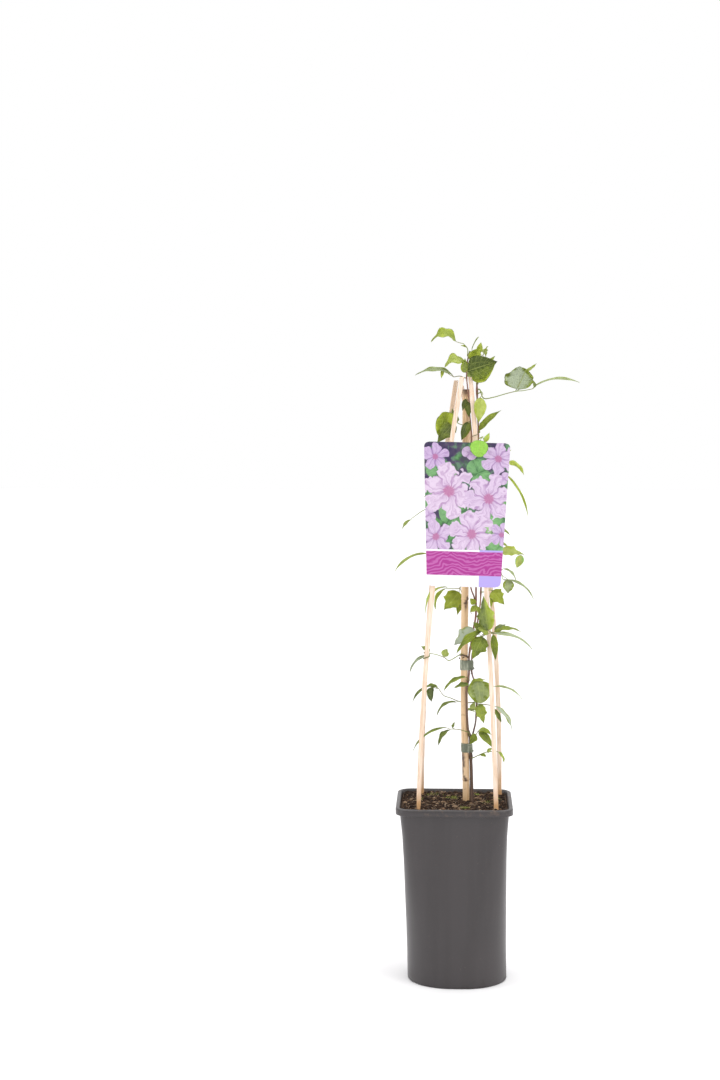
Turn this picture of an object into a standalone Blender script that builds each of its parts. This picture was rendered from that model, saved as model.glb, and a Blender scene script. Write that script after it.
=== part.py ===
# A potted climbing clematis: a tall square-topped plastic pot filled with soil, four split-wood sticks
# leaning together over a bamboo cane, two tape ties, a hanging picture card, and the vine itself with its
# leafy side growths. Lengths are in metres. The origin is the centre of the pot's base, on the ground, with
# the pot's sides along X and Y and its front towards -Y.

import math
import random

import bmesh
import bpy
from mathutils import Matrix, Vector

MM = 0.001
GAP = 0.3 * MM  # clearance between touching pieces
MERGE_DISTANCE = 0.01 * MM

# Pot
POT_HEIGHT = 215.0 * MM
POT_WALL = 1.2 * MM
POT_FLOOR = 2.5 * MM
POT_LEAN = -4.0 * MM  # the filled pot leans this far along X at its rim
LIP_HALF = 69.0 * MM
# the lip's section: height below the rim, and how far it is set in from the lip's outer face
LIP_PROFILE = ((8.2, 0.7), (7.4, 0.0), (1.8, 0.0), (0.5, 1.1), (0.0, 2.2), (0.0, 4.2), (1.5, 4.9))
POINTS_PER_CORNER = 6
# height and half width of the body, and how much of the half width its corner radius takes
POT_BODY = (
    (0.0, 58.3, 0.90),
    (1.5, 59.3, 0.90),
    (35.0, 59.2, 0.83),
    (75.0, 59.7, 0.72),
    (110.0, 60.2, 0.55),
    (150.0, 60.8, 0.38),
    (180.0, 61.8, 0.27),
    (205.5, 63.9, 0.20),
)
DRAIN_HOLES = 8
DRAIN_RING = 42.0 * MM
DRAIN_RADIUS = 4.5 * MM
DRAIN_SIDES = 12

# Soil
SOIL_EDGE = 211.0 * MM
SOIL_RISE = 1.8 * MM
SOIL_ROUGHNESS = 1.0 * MM
SOIL_INSET = 6.1 * MM  # from the lip's outer face to the soil's upper edge
SOIL_LEVELS = (35.0, 75.0, 110.0, 150.0, 180.0, 205.0)
SOIL_RINGS = (0.9, 0.74, 0.56, 0.38, 0.2)

# Sticks: (x, y) where each leaves the soil, (x, y) at its top, how far it bows along X, top and foot heights
STICK_WIDTH = 5.3 * MM
STICK_DEPTH = 3.5 * MM
STICK_SOIL_Z = 213.0 * MM
STICK_CHAMFER = 0.8 * MM
STICK_STEPS = 10
STICKS = {
    "stick_front_left": ((-46.0, -46.0), (3.6, -12.0), -9.3, 719.0, 198.0),
    "stick_front_right": ((45.2, -46.0), (13.3, -12.0), 3.7, 719.0, 160.0),
    "stick_back_left": ((-43.5, 40.0), (-3.2, 10.0), -9.2, 715.0, 160.0),
    "stick_back_right": ((50.9, 44.0), (3.0, 12.0), 12.5, 709.0, 186.0),
}
POINTED_STICK = "stick_front_left"
POINT_LENGTH = 9.0 * MM  # how far above the soil the pointed stick reaches its full width
POINT_WIDTH = 0.3  # share of the full width at its foot

# Cane
CANE_RADIUS = 4.3 * MM
CANE_ROUTE = ((13.0, 0, 30), (10.6, 0, 211), (8.2, 0, 305), (7.3, 0, 380), (7.9, 0, 450), (8.3, 0, 600), (8.7, 0, 704))
CANE_SIDES = 2  # bevel resolution: eight sides
CANE_HOLE = (30.0, 120.0, 211.0, 240.0)  # heights along its hole in the soil
CANE_KNOTS = (238.0, 455.0, 640.0)
KNOT_STEPS = (-4.0, -1.0, 1.0, 4.0)
KNOT_SWELL = 1.13

# Tape ties: heights of the lower and upper edge
TIE_WALL = 0.7 * MM
TIE_POINTS = 24
TIE_REACH = 13.0 * MM  # stems nearer the cane than this are inside the ties
TIES = {"tie_lower": (272.0, 283.0), "tie_upper": (371.0, 383.0)}

# Picture card
CARD_TOP_WIDTH = 101.5 * MM
CARD_BOTTOM_WIDTH = 86.5 * MM
CARD_LENGTH = 169.5 * MM
CARD_THICKNESS = 0.6 * MM
CARD_CORNER = 6.0 * MM
CARD_CORNER_STEPS = 4
CARD_CENTRE_X = 8.0 * MM
CARD_CENTRE_Z = 557.8 * MM
CARD_ROLL = math.radians(-1.3)

# Vine stems. "twine" is the stretch that climbs beside the cane: height, angle round it in degrees from +X,
# and stem radius. "free" is the rest: x, y, z and radius. Millimetres.
TWINE_STEP = 18
STEM_GAP = 0.45 * MM  # between a twining stem and the cane
STEMS = {
    "leader": {
        "twine": [(190, -22, 2.3), (213, -20, 2.2), (245, -14, 2.0), (267, -12, 1.8), (288, -12, 1.6),
                  (302, -52, 1.3), (327, -63, 1.2), (347, -63, 1.2), (360, -35, 1.2), (368, -13, 1.2),
                  (387, -13, 1.2)],
        "free": [(15, -3.5, 400, 1.2), (18, -5, 420, 1.2), (21, -6, 438, 1.2), (21, -6, 469, 1.1),
                 (22, -6, 503, 1.1), (21, -5, 550, 1.1), (19, -5, 598, 1.1), (21, -6, 633, 1.0),
                 (23, -7, 652, 1.0), (22, -6, 680, 1.0), (21.5, -5, 695, 1.0), (21, -5, 713, 0.9)],
    },
    "second": {
        "twine": [],
        "free": [(15.6, -1.4, 286, 1.0), (19, -0.6, 298, 1.0), (21.5, 0, 311, 0.9), (22.5, -0.5, 334, 0.9),
                 (21.5, -0.6, 352, 0.9), (16.6, -0.4, 367, 0.9), (16.6, -0.4, 388, 0.9), (20, 2, 403, 0.9),
                 (22, 5, 420, 0.9), (26, 4, 448, 0.9), (27, 3, 469, 0.9), (29, 0, 502, 0.8),
                 (31, 2, 538, 0.8), (33, 3, 573, 0.8), (35, 0, 609, 0.7), (36, -2, 627, 0.7)],
    },
    "third": {
        "twine": [],
        "free": [(21, -6, 440, 0.9), (19.5, -4.5, 456, 0.9), (15, -2, 469, 0.9), (14, 5, 484, 0.9),
                 (12, 7, 514, 0.9), (10, 7, 549, 0.8), (9, 7, 585, 0.8), (12, 6, 621, 0.8),
                 (15, 1, 645, 0.8), (14, -5, 662, 0.8), (12.5, -6.2, 678, 0.8), (12, -6, 692, 0.8),
                 (10, -4, 708, 0.8), (9, -2, 720, 0.8), (10, -1, 737, 0.8), (12, -1, 747, 0.8)],
    },
    "stub": {
        "twine": [(386, -32, 1.1), (388, -62, 1.1), (389, -95, 1.0), (389.5, -118, 0.9)],
        "free": [],
    },
}

# Leaves
BLADE_THICKNESS = 0.6 * MM
STALK_RADIUS = 0.75 * MM
STALK_TIP_RADIUS = 0.5 * MM
STALK_STAND_OFF = 2.2 * MM
STALK_GAP = 0.5 * MM  # from the side of its stem to where a leaf stalk starts
RIB_HALF = 0.5 * MM
FOLD = math.radians(14)
# where the outline is widest, as a share of the length, and how blunt its ends are
FORMS = {"ovate": (0.36, 2.0), "narrow": (0.4, 1.5), "lobed": (0.32, 1.9), "broad": (0.42, 1.1), "bud": (0.8, 1.0)}
# shares of the length, and of the outline: a tooth and the notch past it on a lobed leaflet
LOBES = ((0.5, 0.3), (0.66, -0.15))
LOBE_SPREAD = 0.08
OUTLINE_START = 0.02
OUTLINE_END = 0.985
LONG_LEAFLET = 16.0 * MM
LONGER_LEAFLET = 30.0 * MM
WAVE = 0.07  # height of the waves of the edge, as a share of the width
WAVE_PITCH = 9.0
STRIP_STARTS = (0.1, 0.06)  # depth inside the stalk at which the first strip starts, and the step to the next

# One entry for each leafy growth. "stem" and "axil" say which stem carries it, and at what height. "stalk"
# is its route. Each leaflet gives the stalk point it leaves from, its base, its tip, its width, the way its
# upper side faces, how far it arches that way, and its form. Millimetres.
GROWTHS = {
    "leaf_foot_right": {
        "stem": "leader", "axil": 266,
        "stalk": [(24, -12, 270), (33, -24, 276), (44, -27, 278), (47, -26, 277)],
        "leaflets": [
            (0, (28, -16, 272), (34, -20, 270), 5, (0, -1, 0.6), 1, "ovate"),
            (1, (35, -24, 276), (41, -28, 282), 5, (0, -1, 0.6), 1, "ovate"),
            (3, (48, -26, 277), (55, -24, 262), 6, (1, -0.6, 0.4), 2, "ovate"),
        ],
    },
    "leaf_low_left": {
        "stem": "leader", "axil": 293,
        "stalk": [(13, -10, 297), (9, -12, 299), (0, -11, 301), (-9, -9, 301)],
        "leaflets": [
            (3, (-10, -9, 300), (-23, -16, 282), 8, (-0.4, -0.5, 0.8), 4, "ovate"),
            (2, (-6, -9, 302), (-3, -3, 309), 4, (-0.6, -0.8, 0.2), 1, "ovate"),
            (3, (-14, -9, 303), (-54, -14, 274), 5, (-0.3, -0.5, 0.8), 9, "narrow"),
        ],
    },
    "leaf_low_front": {
        "stem": "second", "axil": 290,
        "stalk": [(22, -8, 295), (24, -12, 299)],
        "leaflets": [
            (0, (20, -12, 296), (14, -15, 284), 9, (0, -1, -0.6), 2, "ovate"),
            (1, (25, -14, 301), (40, -22, 296), 8, (0, -0.6, 0.8), 4, "ovate"),
            (1, (25, -14, 299), (43, -26, 280), 9, (0, -1, 0.6), 4, "ovate"),
        ],
    },
    "leaf_low_right": {
        "stem": "second", "axil": 330,
        "stalk": [(32, -4, 330), (41, -6, 329), (44, -6, 328)],
        "leaflets": [
            (0, (26, -8, 331), (31, -12, 308), 12, (0, -1, 0), 2, "lobed"),
            (2, (45, -5, 328), (65, -2, 298), 9, (0.4, -0.5, 0.8), 5, "ovate"),
            (1, (43, -4, 325), (52, 4, 307), 6, (0, -1, 0.6), 2, "ovate"),
        ],
    },
    "leaf_low_back": {
        "stem": "second", "axil": 315,
        "stalk": [(22, 9, 318), (18, 16, 319)],
        "leaflets": [
            (1, (17, 18, 319), (4, 34, 309), 11, (-0.3, 0.6, 0.8), 4, "lobed"),
            (1, (19, 18, 320), (29, 36, 310), 10, (0.3, 0.6, 0.8), 4, "ovate"),
            (1, (18, 19, 320), (21, 30, 330), 8, (0, 1, 0.2), 2, "ovate"),
        ],
    },
    "leaf_arch_left": {
        "stem": "second", "axil": 332,
        "stalk": [(18, 6, 331), (10, 9, 330), (0, 9, 332), (-8, 5, 336), (-17, 0, 340), (-23, -12, 350)],
        "leaflets": [
            (2, (-2, 8, 331), (-25, 4, 315), 5, (-0.3, -0.5, 0.8), 7, "narrow"),
            (5, (-31, -14, 352), (-31, -20, 335), 10, (-0.5, -0.8, 0.3), 2, "ovate"),
            (5, (-24, -12, 351), (-39, -19, 353), 7, (0, -0.6, 0.8), 2, "ovate"),
            (5, (-28, -16, 354), (-54, -26, 335), 5, (-0.3, -0.5, 0.8), 7, "narrow"),
        ],
    },
    "leaf_crinkled": {
        "stem": "leader", "axil": 351,
        "stalk": [(14, -13, 355)],
        "leaflets": [
            (0, (23, -14, 359), (27, -22, 334), 29, (0, -1, 0.6), 2, "broad"),
            (0, (15, -13, 356), (33, -6, 360), 8, (0, -0.6, 0.8), 2, "ovate"),
            (0, (13, -14, 355), (-5, -17, 351), 8, (0, -0.6, 0.8), 2, "ovate"),
        ],
    },
    "leaf_arch_front": {
        "stem": "leader", "axil": 359,
        "stalk": [(11, -10, 363)],
        "leaflets": [
            (0, (9, -12, 364), (-17, -14, 347), 6, (-0.2, -0.6, 0.8), 6, "narrow"),
        ],
    },
    "leaf_thin_right": {
        "stem": "second", "axil": 348,
        "stalk": [(32, 2, 350), (42, 8, 350)],
        "leaflets": [
            (1, (44, 10, 350), (77, 14, 334), 4, (0.2, -0.5, 0.8), 6, "narrow"),
        ],
    },
    "leaf_tie_left": {
        "stem": "stub", "axil": "end",
        "stalk": [(-10, -15, 384), (-16, -20, 388), (-25, -25, 392), (-33, -28, 394)],
        "leaflets": [
            (1, (-17, -20, 389), (-13, -14, 398), 9, (0, -1, 0), 1, "ovate"),
            (3, (-35, -28, 392), (-57, -30, 371), 5, (-0.3, -0.5, 0.8), 6, "narrow"),
            (3, (-34, -28, 395), (-44, -22, 402), 7, (0, -0.6, 0.8), 1, "ovate"),
        ],
    },
    "leaf_star_left": {
        "stem": "leader", "axil": 397,
        "stalk": [(21, -12, 409), (27, -24, 414), (30, -32, 419)],
        "leaflets": [
            (2, (27, -33, 421), (-2, -30, 394), 11, (0, -0.6, 0.8), 5, "ovate"),
            (1, (19, -20, 422), (-5, -16, 402), 16, (-0.2, -0.9, 0.2), 4, "lobed"),
            (2, (29, -32, 414), (17, -34, 388), 19, (0, -1, 0.6), 4, "lobed"),
            (2, (28, -34, 421), (17, -36, 432), 11, (0, -1, 0.6), 1, "ovate"),
        ],
    },
    "leaf_star_right": {
        "stem": "second", "axil": 407,
        "stalk": [(29, 10, 410), (35, -10, 415), (41, -28, 418), (38, -39, 421)],
        "leaflets": [
            (3, (35, -41, 423), (29, -37, 464), 17, (0, -1, 0), 5, "lobed"),
            (2, (43, -30, 420), (56, -20, 428), 8, (0, -1, 0.6), 2, "ovate"),
            (3, (42, -38, 421), (74, -30, 420), 7, (0, -0.6, 0.8), 6, "ovate"),
            (3, (41, -39, 419), (87, -42, 401), 8, (0.4, -0.5, 0.8), 8, "ovate"),
            (3, (41, -40, 418), (44, -40, 387), 9, (0, -1, 0), 4, "ovate"),
            (3, (35, -42, 419), (22, -44, 426), 13, (0, -0.6, 0.8), 2, "ovate"),
        ],
    },
    "leaf_bright_left": {
        "stem": "third", "axil": 487,
        "stalk": [(7, 12, 476), (2, 13, 468), (-5, 10, 467), (-13, 4, 468)],
        "leaflets": [
            (1, (1, 11, 463), (-17, 12, 441), 20, (0, -1, 0), 4, "lobed"),
            (1, (5, 12, 460), (-1, 11, 435), 10, (0, -1, 0), 2, "ovate"),
            (3, (-15, 3, 468), (-27, -2, 443), 6, (-0.6, -0.6, 0.5), 6, "narrow"),
            (3, (-14, 3, 470), (-39, -14, 440), 6, (-0.6, -0.6, 0.5), 11, "narrow"),
        ],
    },
    "leaf_small_mid": {
        "stem": "leader", "axil": 447,
        "stalk": [(22, -11, 449)],
        "leaflets": [
            (0, (21, -13, 449), (14, -13, 441), 8, (0, -1, 0), 1, "ovate"),
            (0, (23, -13, 448), (25, -15, 439), 5, (0, -1, 0), 1, "ovate"),
            (0, (20, -13, 451), (14, -12, 458), 8, (0, -1, 0), 1, "ovate"),
        ],
    },
    "leaf_light_right": {
        "stem": "second", "axil": 464,
        "stalk": [(34, 2, 466), (40, 2, 466)],
        "leaflets": [
            (1, (41, 1, 466), (55, -3, 449), 15, (0, -1, 0), 4, "lobed"),
            (1, (40, 0, 465), (39, -4, 446), 5, (0, -1, 0), 1, "narrow"),
        ],
    },
    "leaf_grey_right": {
        "stem": "second", "axil": 481,
        "stalk": [(36, -4, 485), (46, -8, 490), (50, -9, 491)],
        "leaflets": [
            (2, (53, -10, 493), (68, -14, 479), 5, (0.4, -0.5, 0.8), 4, "narrow"),
            (2, (53, -10, 480), (89, -12, 457), 5, (0.4, -0.5, 0.8), 8, "narrow"),
            (1, (59, -10, 480), (59, -8, 463), 13, (0, -0.8, -0.6), 2, "ovate"),
        ],
    },
    "leaf_edge_right": {
        "stem": "second", "axil": 517,
        "stalk": [(37, 2, 520), (46, 0, 518)],
        "leaflets": [
            (1, (49, -1, 512), (78, -4, 509), 11, (0, -1, 0.6), 4, "lobed"),
            (1, (75, -4, 508), (69, -3, 493), 10, (0, -1, 0.6), 1, "ovate"),
            (0, (41, 2, 526), (59, 0, 518), 7, (0, -0.6, 0.8), 2, "ovate"),
        ],
    },
    "leaf_edge_upper": {
        "stem": "second", "axil": 540,
        "stalk": [(39, 6, 544)],
        "leaflets": [
            (0, (43, 6, 542), (61, 4, 532), 8, (0, -0.6, 0.8), 2, "ovate"),
            (0, (42, 8, 547), (54, 22, 558), 10, (0.5, 0.5, 0.7), 2, "ovate"),
            (0, (40, 9, 542), (43, 26, 524), 10, (0.2, 0.8, 0.5), 2, "lobed"),
        ],
    },
    "leaf_top_right": {
        "stem": "second", "axil": 612,
        "stalk": [(45, -8, 617), (52, -9, 618)],
        "leaflets": [
            (1, (56, -9, 618), (77, -12, 604), 11, (0.4, -0.5, 0.8), 4, "ovate"),
            (1, (56, -8, 604), (82, -9, 554), 5, (0.6, -0.6, 0.4), 6, "narrow"),
            (0, (50, -6, 627), (62, -4, 633), 8, (0, -1, 0.6), 2, "ovate"),
        ],
    },
    "leaf_left_tendril": {
        "stem": "third", "axil": 568,
        "stalk": [(-4, 12, 569), (-22, 4, 566), (-40, 0, 562), (-55, -2, 552)],
        "leaflets": [
            (3, (-57, -2, 550), (-67, -3, 539), 5, (-0.4, -0.6, 0.6), 1, "ovate"),
            (1, (-26, 0, 564), (-39, -6, 552), 7, (0, -0.6, 0.8), 2, "ovate"),
            (1, (-29, 2, 571), (-41, -4, 578), 7, (0, -0.6, 0.8), 1, "ovate"),
            (0, (-8, 14, 572), (-17, 26, 584), 11, (-0.3, 0.8, 0.5), 4, "lobed"),
        ],
    },
    "leaf_left_long": {
        "stem": "third", "axil": 507,
        "stalk": [(0, 14, 507), (-18, 6, 509), (-34, 0, 509)],
        "leaflets": [
            (2, (-38, -1, 510), (-76, -6, 488), 6, (-0.2, -0.5, 0.8), 8, "narrow"),
            (1, (-21, 8, 506), (-31, 14, 491), 10, (-0.4, 0.6, 0.6), 2, "ovate"),
            (0, (-3, 16, 510), (-11, 30, 526), 11, (-0.3, 0.8, 0.4), 2, "lobed"),
        ],
    },
    "leaf_back_mid": {
        "stem": "third", "axil": 484,
        "stalk": [(14, 12, 486), (16, 20, 489)],
        "leaflets": [
            (1, (14, 22, 488), (-3, 40, 481), 13, (-0.3, 0.6, 0.8), 5, "lobed"),
            (1, (19, 22, 490), (36, 40, 482), 13, (0.3, 0.6, 0.8), 5, "ovate"),
            (1, (16, 23, 491), (18, 38, 504), 11, (0, 0.9, 0.5), 4, "ovate"),
        ],
    },
    "leaf_back_high": {
        "stem": "third", "axil": 600,
        "stalk": [(16, 12, 604), (17, 23, 608)],
        "leaflets": [
            (1, (16, 25, 609), (1, 42, 603), 13, (-0.3, 0.6, 0.8), 5, "lobed"),
            (1, (20, 26, 609), (34, 43, 599), 13, (0.3, 0.6, 0.8), 5, "lobed"),
            (1, (18, 26, 612), (18, 38, 629), 11, (0, 0.9, 0.4), 4, "ovate"),
        ],
    },
    "leaf_fan_left": {
        "stem": "third", "axil": 659,
        "stalk": [(6, -8, 662), (0, -7, 664), (-4, -4, 667)],
        "leaflets": [
            (2, (-10, 0, 677), (-21, -1, 647), 24, (0, -1, 0), 4, "broad"),
            (2, (-5, -3, 664), (-26, -8, 641), 19, (0, -1, 0.3), 4, "lobed"),
            (1, (-2, -5, 666), (-8, 6, 682), 9, (-0.3, 0.8, 0.4), 2, "ovate"),
        ],
    },
    "leaf_dark_mid": {
        "stem": "third", "axil": 664,
        "stalk": [(13, -8, 667)],
        "leaflets": [
            (0, (11, -9, 666), (3, -9, 644), 11, (0, -1, 0), 2, "ovate"),
        ],
    },
    "leaf_bundle": {
        "stem": "third", "axil": 689,
        "stalk": [(10, -8, 691)],
        "leaflets": [
            (0, (10, -9, 690), (12, -9, 671), 8, (0, -1, 0), 1, "ovate"),
            (0, (8, -8, 693), (4, -9, 679), 6, (0, -1, 0), 1, "ovate"),
        ],
    },
    "leaf_pendant": {
        "stem": "leader", "axil": 700,
        "stalk": [(26, -10, 702), (28, -15, 699)],
        "leaflets": [
            (1, (25, -17, 695), (23, -20, 665), 15, (0, -1, 0), 2, "ovate"),
        ],
    },
    "leaf_dark_right": {
        "stem": "leader", "axil": 654,
        "stalk": [(24, -9, 657)],
        "leaflets": [
            (0, (24, -10, 656), (50, -10, 680), 9, (-0.3, -0.9, 0.5), 4, "ovate"),
        ],
    },
    "leaf_over_label": {
        "stem": "leader", "axil": 647,
        "stalk": [(28, -14, 649), (28, -22, 649), (26, -26, 647)],
        "leaflets": [
            (2, (25, -27, 645), (23, -27, 625), 20, (0, -1, 0), 1, "broad"),
            (1, (30, -24, 643), (36, -24, 654), 6, (0, -1, 0), 1, "ovate"),
        ],
    },
    "shoot_side": {
        "stem": "leader", "axil": 704,
        "stalk": [(29, -8, 694), (40, -10, 695), (54, -12, 699), (66, -13, 702), (76, -14, 703), (86, -15, 705)],
        "leaflets": [
            (3, (70, -14, 704), (71, -16, 731), 35, (0.1, -0.7, -0.6), -4, "broad"),
            (3, (78, -15, 726), (91, -15, 735), 5, (0.1, -0.7, -0.6), 1, "ovate"),
            (5, (88, -15, 708), (142, -20, 712), 6, (0, -0.5, 0.9), 8, "narrow"),
            (5, (89, -14, 707), (87, -16, 715), 4, (0, -0.8, 0.4), 1, "ovate"),
        ],
    },
    "crown_left": {
        "stem": "third", "axil": 744,
        "stalk": [(10, -4, 752), (5, -8, 758)],
        "leaflets": [
            (1, (-4, -10, 761), (-33, -12, 760), 20, (0, -0.6, 0.8), 11, "ovate"),
            (0, (9, -5, 754), (2, -9, 756), 4, (0, -0.6, 0.8), 0, "narrow"),
        ],
    },
    "crown_long_left": {
        "stem": "third", "axil": 718,
        "stalk": [(1, 6, 720), (-6, 6, 719)],
        "leaflets": [
            (1, (-8, 4, 722), (-52, -4, 721), 9, (0, -0.6, 0.8), 8, "ovate"),
            (1, (-19, 0, 728), (-21, -2, 717), 4, (0, -1, 0), 1, "ovate"),
        ],
    },
    "crown_pale": {
        "stem": "third", "axil": 730,
        "stalk": [(5, -6, 729)],
        "leaflets": [
            (0, (4, -7, 736), (-17, -11, 730), 18, (0, -0.6, 0.8), 7, "ovate"),
            (0, (6, -5, 737), (-4, 2, 744), 5, (0, -1, 0), 1, "ovate"),
            (0, (6, -8, 724), (7, -12, 741), 9, (0, -1, 0), 1, "ovate"),
        ],
    },
    "crown_dark": {
        "stem": "leader", "axil": 711,
        "stalk": [(23, -10, 715), (21, -14, 717)],
        "leaflets": [
            (1, (10, -17, 726), (45, -21, 737), 29, (0, -1, 0), 2, "ovate"),
            (1, (16, -14, 715), (43, -17, 735), 18, (0, -1, 0), 2, "ovate"),
            (0, (22, -4, 720), (43, 12, 744), 9, (0.3, -0.7, 0.6), 4, "ovate"),
            (0, (20, 4, 720), (13, 22, 736), 14, (-0.3, 0.8, 0.4), 4, "lobed"),
        ],
    },
    "crown_top": {
        "stem": "third", "axil": "end",
        "stalk": [(15, -2, 748), (21, 0, 748)],
        "leaflets": [
            (0, (15, -3, 752), (23, -6, 766), 2, (-0.8, -0.5, 0.3), 1, "bud"),
            (1, (28, -3, 744), (34, -5, 755), 2, (-0.8, -0.5, 0.3), 1, "bud"),
            (0, (14, -4, 737), (25, -6, 754), 15, (0, -1, 0), 2, "ovate"),
            (1, (23, 0, 747), (26, 1, 760), 7, (0, -1, 0), 1, "ovate"),
            (1, (24, 2, 750), (32, 18, 742), 11, (0.3, 0.5, 0.8), 4, "lobed"),
        ],
    },
}


def new_collection(name):
    collection = bpy.data.collections.new(name)
    bpy.context.scene.collection.children.link(collection)
    return collection


def clear_scene():
    for old in list(bpy.data.objects):
        bpy.data.objects.remove(old, do_unlink=True)


def make_material(name, colour, roughness):
    material = bpy.data.materials.new(name)
    material.use_nodes = True
    shader = material.node_tree.nodes["Principled BSDF"]
    shader.inputs["Base Color"].default_value = (*colour, 1.0)
    shader.inputs["Roughness"].default_value = roughness
    shader.inputs["Metallic"].default_value = 0.0
    material.diffuse_color = (*colour, 1.0)
    return material


def add_object(name, mesh, collection, material=None):
    thing = bpy.data.objects.new(name, mesh)
    collection.objects.link(thing)
    if material:
        mesh.materials.clear()
        mesh.materials.append(material)
    return thing


def mesh_from(vertices, faces, name):
    mesh = bpy.data.meshes.new(name)
    mesh.from_pydata([tuple(v) for v in vertices], [], faces)
    mesh.update()
    return mesh


def millimetres(point):
    return Vector(point) * MM


def blend(a, b, share):
    return a + (b - a) * share


def smooth_path(points, steps):
    """Points along a Catmull-Rom curve through the given ones."""
    ends = [points[0] * 2 - points[1]] + list(points) + [points[-1] * 2 - points[-2]]
    path = []
    for i in range(1, len(ends) - 2):
        before, start, end, after = ends[i - 1:i + 3]
        for k in range(steps):
            t = k / steps
            path.append(
                0.5 * (2 * start + (end - before) * t + (2 * before - 5 * start + 4 * end - after) * t * t
                       + (3 * start - before - 3 * end + after) * t ** 3)
            )
    path.append(points[-1])
    return path


def at_height(path, z):
    """The point of a rising path at height z."""
    for low, high in zip(path, path[1:]):
        if high.z >= z:
            return blend(low, high, (z - low.z) / (high.z - low.z))
    return path[-1]


def evaluated_mesh(thing):
    graph = bpy.context.evaluated_depsgraph_get()
    return bpy.data.meshes.new_from_object(thing.evaluated_get(graph))


def tube(name, path, radii, collection, resolution=1):
    """A round rod along a path, as a closed mesh. Resolution 0, 1 and 2 give 4, 6 and 8 sides."""
    curve = bpy.data.curves.new(name, "CURVE")
    curve.dimensions = "3D"
    curve.bevel_depth = 1.0
    curve.bevel_resolution = resolution
    curve.use_fill_caps = True
    spline = curve.splines.new("POLY")
    spline.points.add(len(path) - 1)
    for point, place, radius in zip(spline.points, path, radii):
        point.co = (*place, 1.0)
        point.radius = radius
    rod = bpy.data.objects.new(name, curve)
    collection.objects.link(rod)
    bpy.context.view_layer.update()
    mesh = evaluated_mesh(rod)
    bpy.data.objects.remove(rod, do_unlink=True)
    body = bmesh.new()
    body.from_mesh(mesh)
    bmesh.ops.remove_doubles(body, verts=body.verts, dist=MERGE_DISTANCE)
    body.to_mesh(mesh)
    body.free()
    return add_object(name, mesh, collection)


def boolean(thing, operation, other, solver="EXACT"):
    """Joins or cuts a mesh object with another object, or with a whole collection, and applies it."""
    modifier = thing.modifiers.new(operation, "BOOLEAN")
    modifier.operation = operation
    modifier.solver = solver
    if isinstance(other, bpy.types.Collection):
        modifier.operand_type = "COLLECTION"
        modifier.collection = other
    else:
        modifier.object = other
    bpy.context.view_layer.update()
    mesh = evaluated_mesh(thing)
    thing.modifiers.clear()
    thing.data = mesh


def drop_collection(collection):
    for thing in list(collection.objects):
        bpy.data.objects.remove(thing, do_unlink=True)
    bpy.data.collections.remove(collection)


def tidy_union(mesh):
    """Removes what a union can leave: scraps, sealed hollows, and points in the middle of straight edges."""
    body = bmesh.new()
    body.from_mesh(mesh)
    body.verts.ensure_lookup_table()
    left = set(body.verts)
    groups = []
    while left:
        group = {left.pop()}
        edge = list(group)
        while edge:
            for link in edge.pop().link_edges:
                for vert in link.verts:
                    if vert in left:
                        left.remove(vert)
                        group.add(vert)
                        edge.append(vert)
        groups.append(group)
    largest = max(groups, key=len)
    bmesh.ops.delete(body, geom=[v for group in groups if group is not largest for v in group], context="VERTS")
    bmesh.ops.dissolve_verts(body, verts=[v for v in body.verts if len(v.link_edges) == 2])
    body.to_mesh(mesh)
    body.free()


def square_ring(half, corner, z, shift=0.0):
    """Points round a square with rounded corners, anticlockwise from the +X side."""
    points = []
    for quarter in range(4):
        turn = quarter * math.pi / 2
        for k in range(POINTS_PER_CORNER):
            angle = k / (POINTS_PER_CORNER - 1) * math.pi / 2
            x = half - corner + corner * math.cos(angle)
            y = half - corner + corner * math.sin(angle)
            points.append(Vector((
                x * math.cos(turn) - y * math.sin(turn) + shift,
                x * math.sin(turn) + y * math.cos(turn),
                z,
            )))
    return points


def loft(rings, name, closed_ends=True):
    """Skins a list of rings with equally many points. The rings run up the outside."""
    count = len(rings[0])
    vertices = [point for ring in rings for point in ring]
    faces = []
    for level in range(len(rings) - 1):
        for k in range(count):
            a = level * count + k
            b = level * count + (k + 1) % count
            faces.append((a, b, b + count, a + count))
    if closed_ends:
        faces.append(tuple(reversed(range(count))))
        faces.append(tuple(range(len(vertices) - count, len(vertices))))
    return mesh_from(vertices, faces, name)


def pot_shift(z):
    return POT_LEAN * z / POT_HEIGHT


def pot_size(z):
    """Half width and corner radius of the pot's outside at height z, below the lip."""
    for (z0, half0, corner0), (z1, half1, corner1) in zip(POT_BODY, POT_BODY[1:]):
        if z <= z1 * MM:
            share = (z / MM - z0) / (z1 - z0)
            half = blend(half0, half1, share) * MM
            return half, half * blend(corner0, corner1, share)
    half = POT_BODY[-1][1] * MM
    return half, half * POT_BODY[-1][2]


def pot_ring(z, inset=0.0):
    half, corner = pot_size(z)
    return square_ring(half - inset, corner - inset, z, pot_shift(z))


def lip_ring(z, inset):
    half, corner = pot_size(z)
    return square_ring(LIP_HALF - inset, LIP_HALF - half + corner - inset, z, pot_shift(z))


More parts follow.
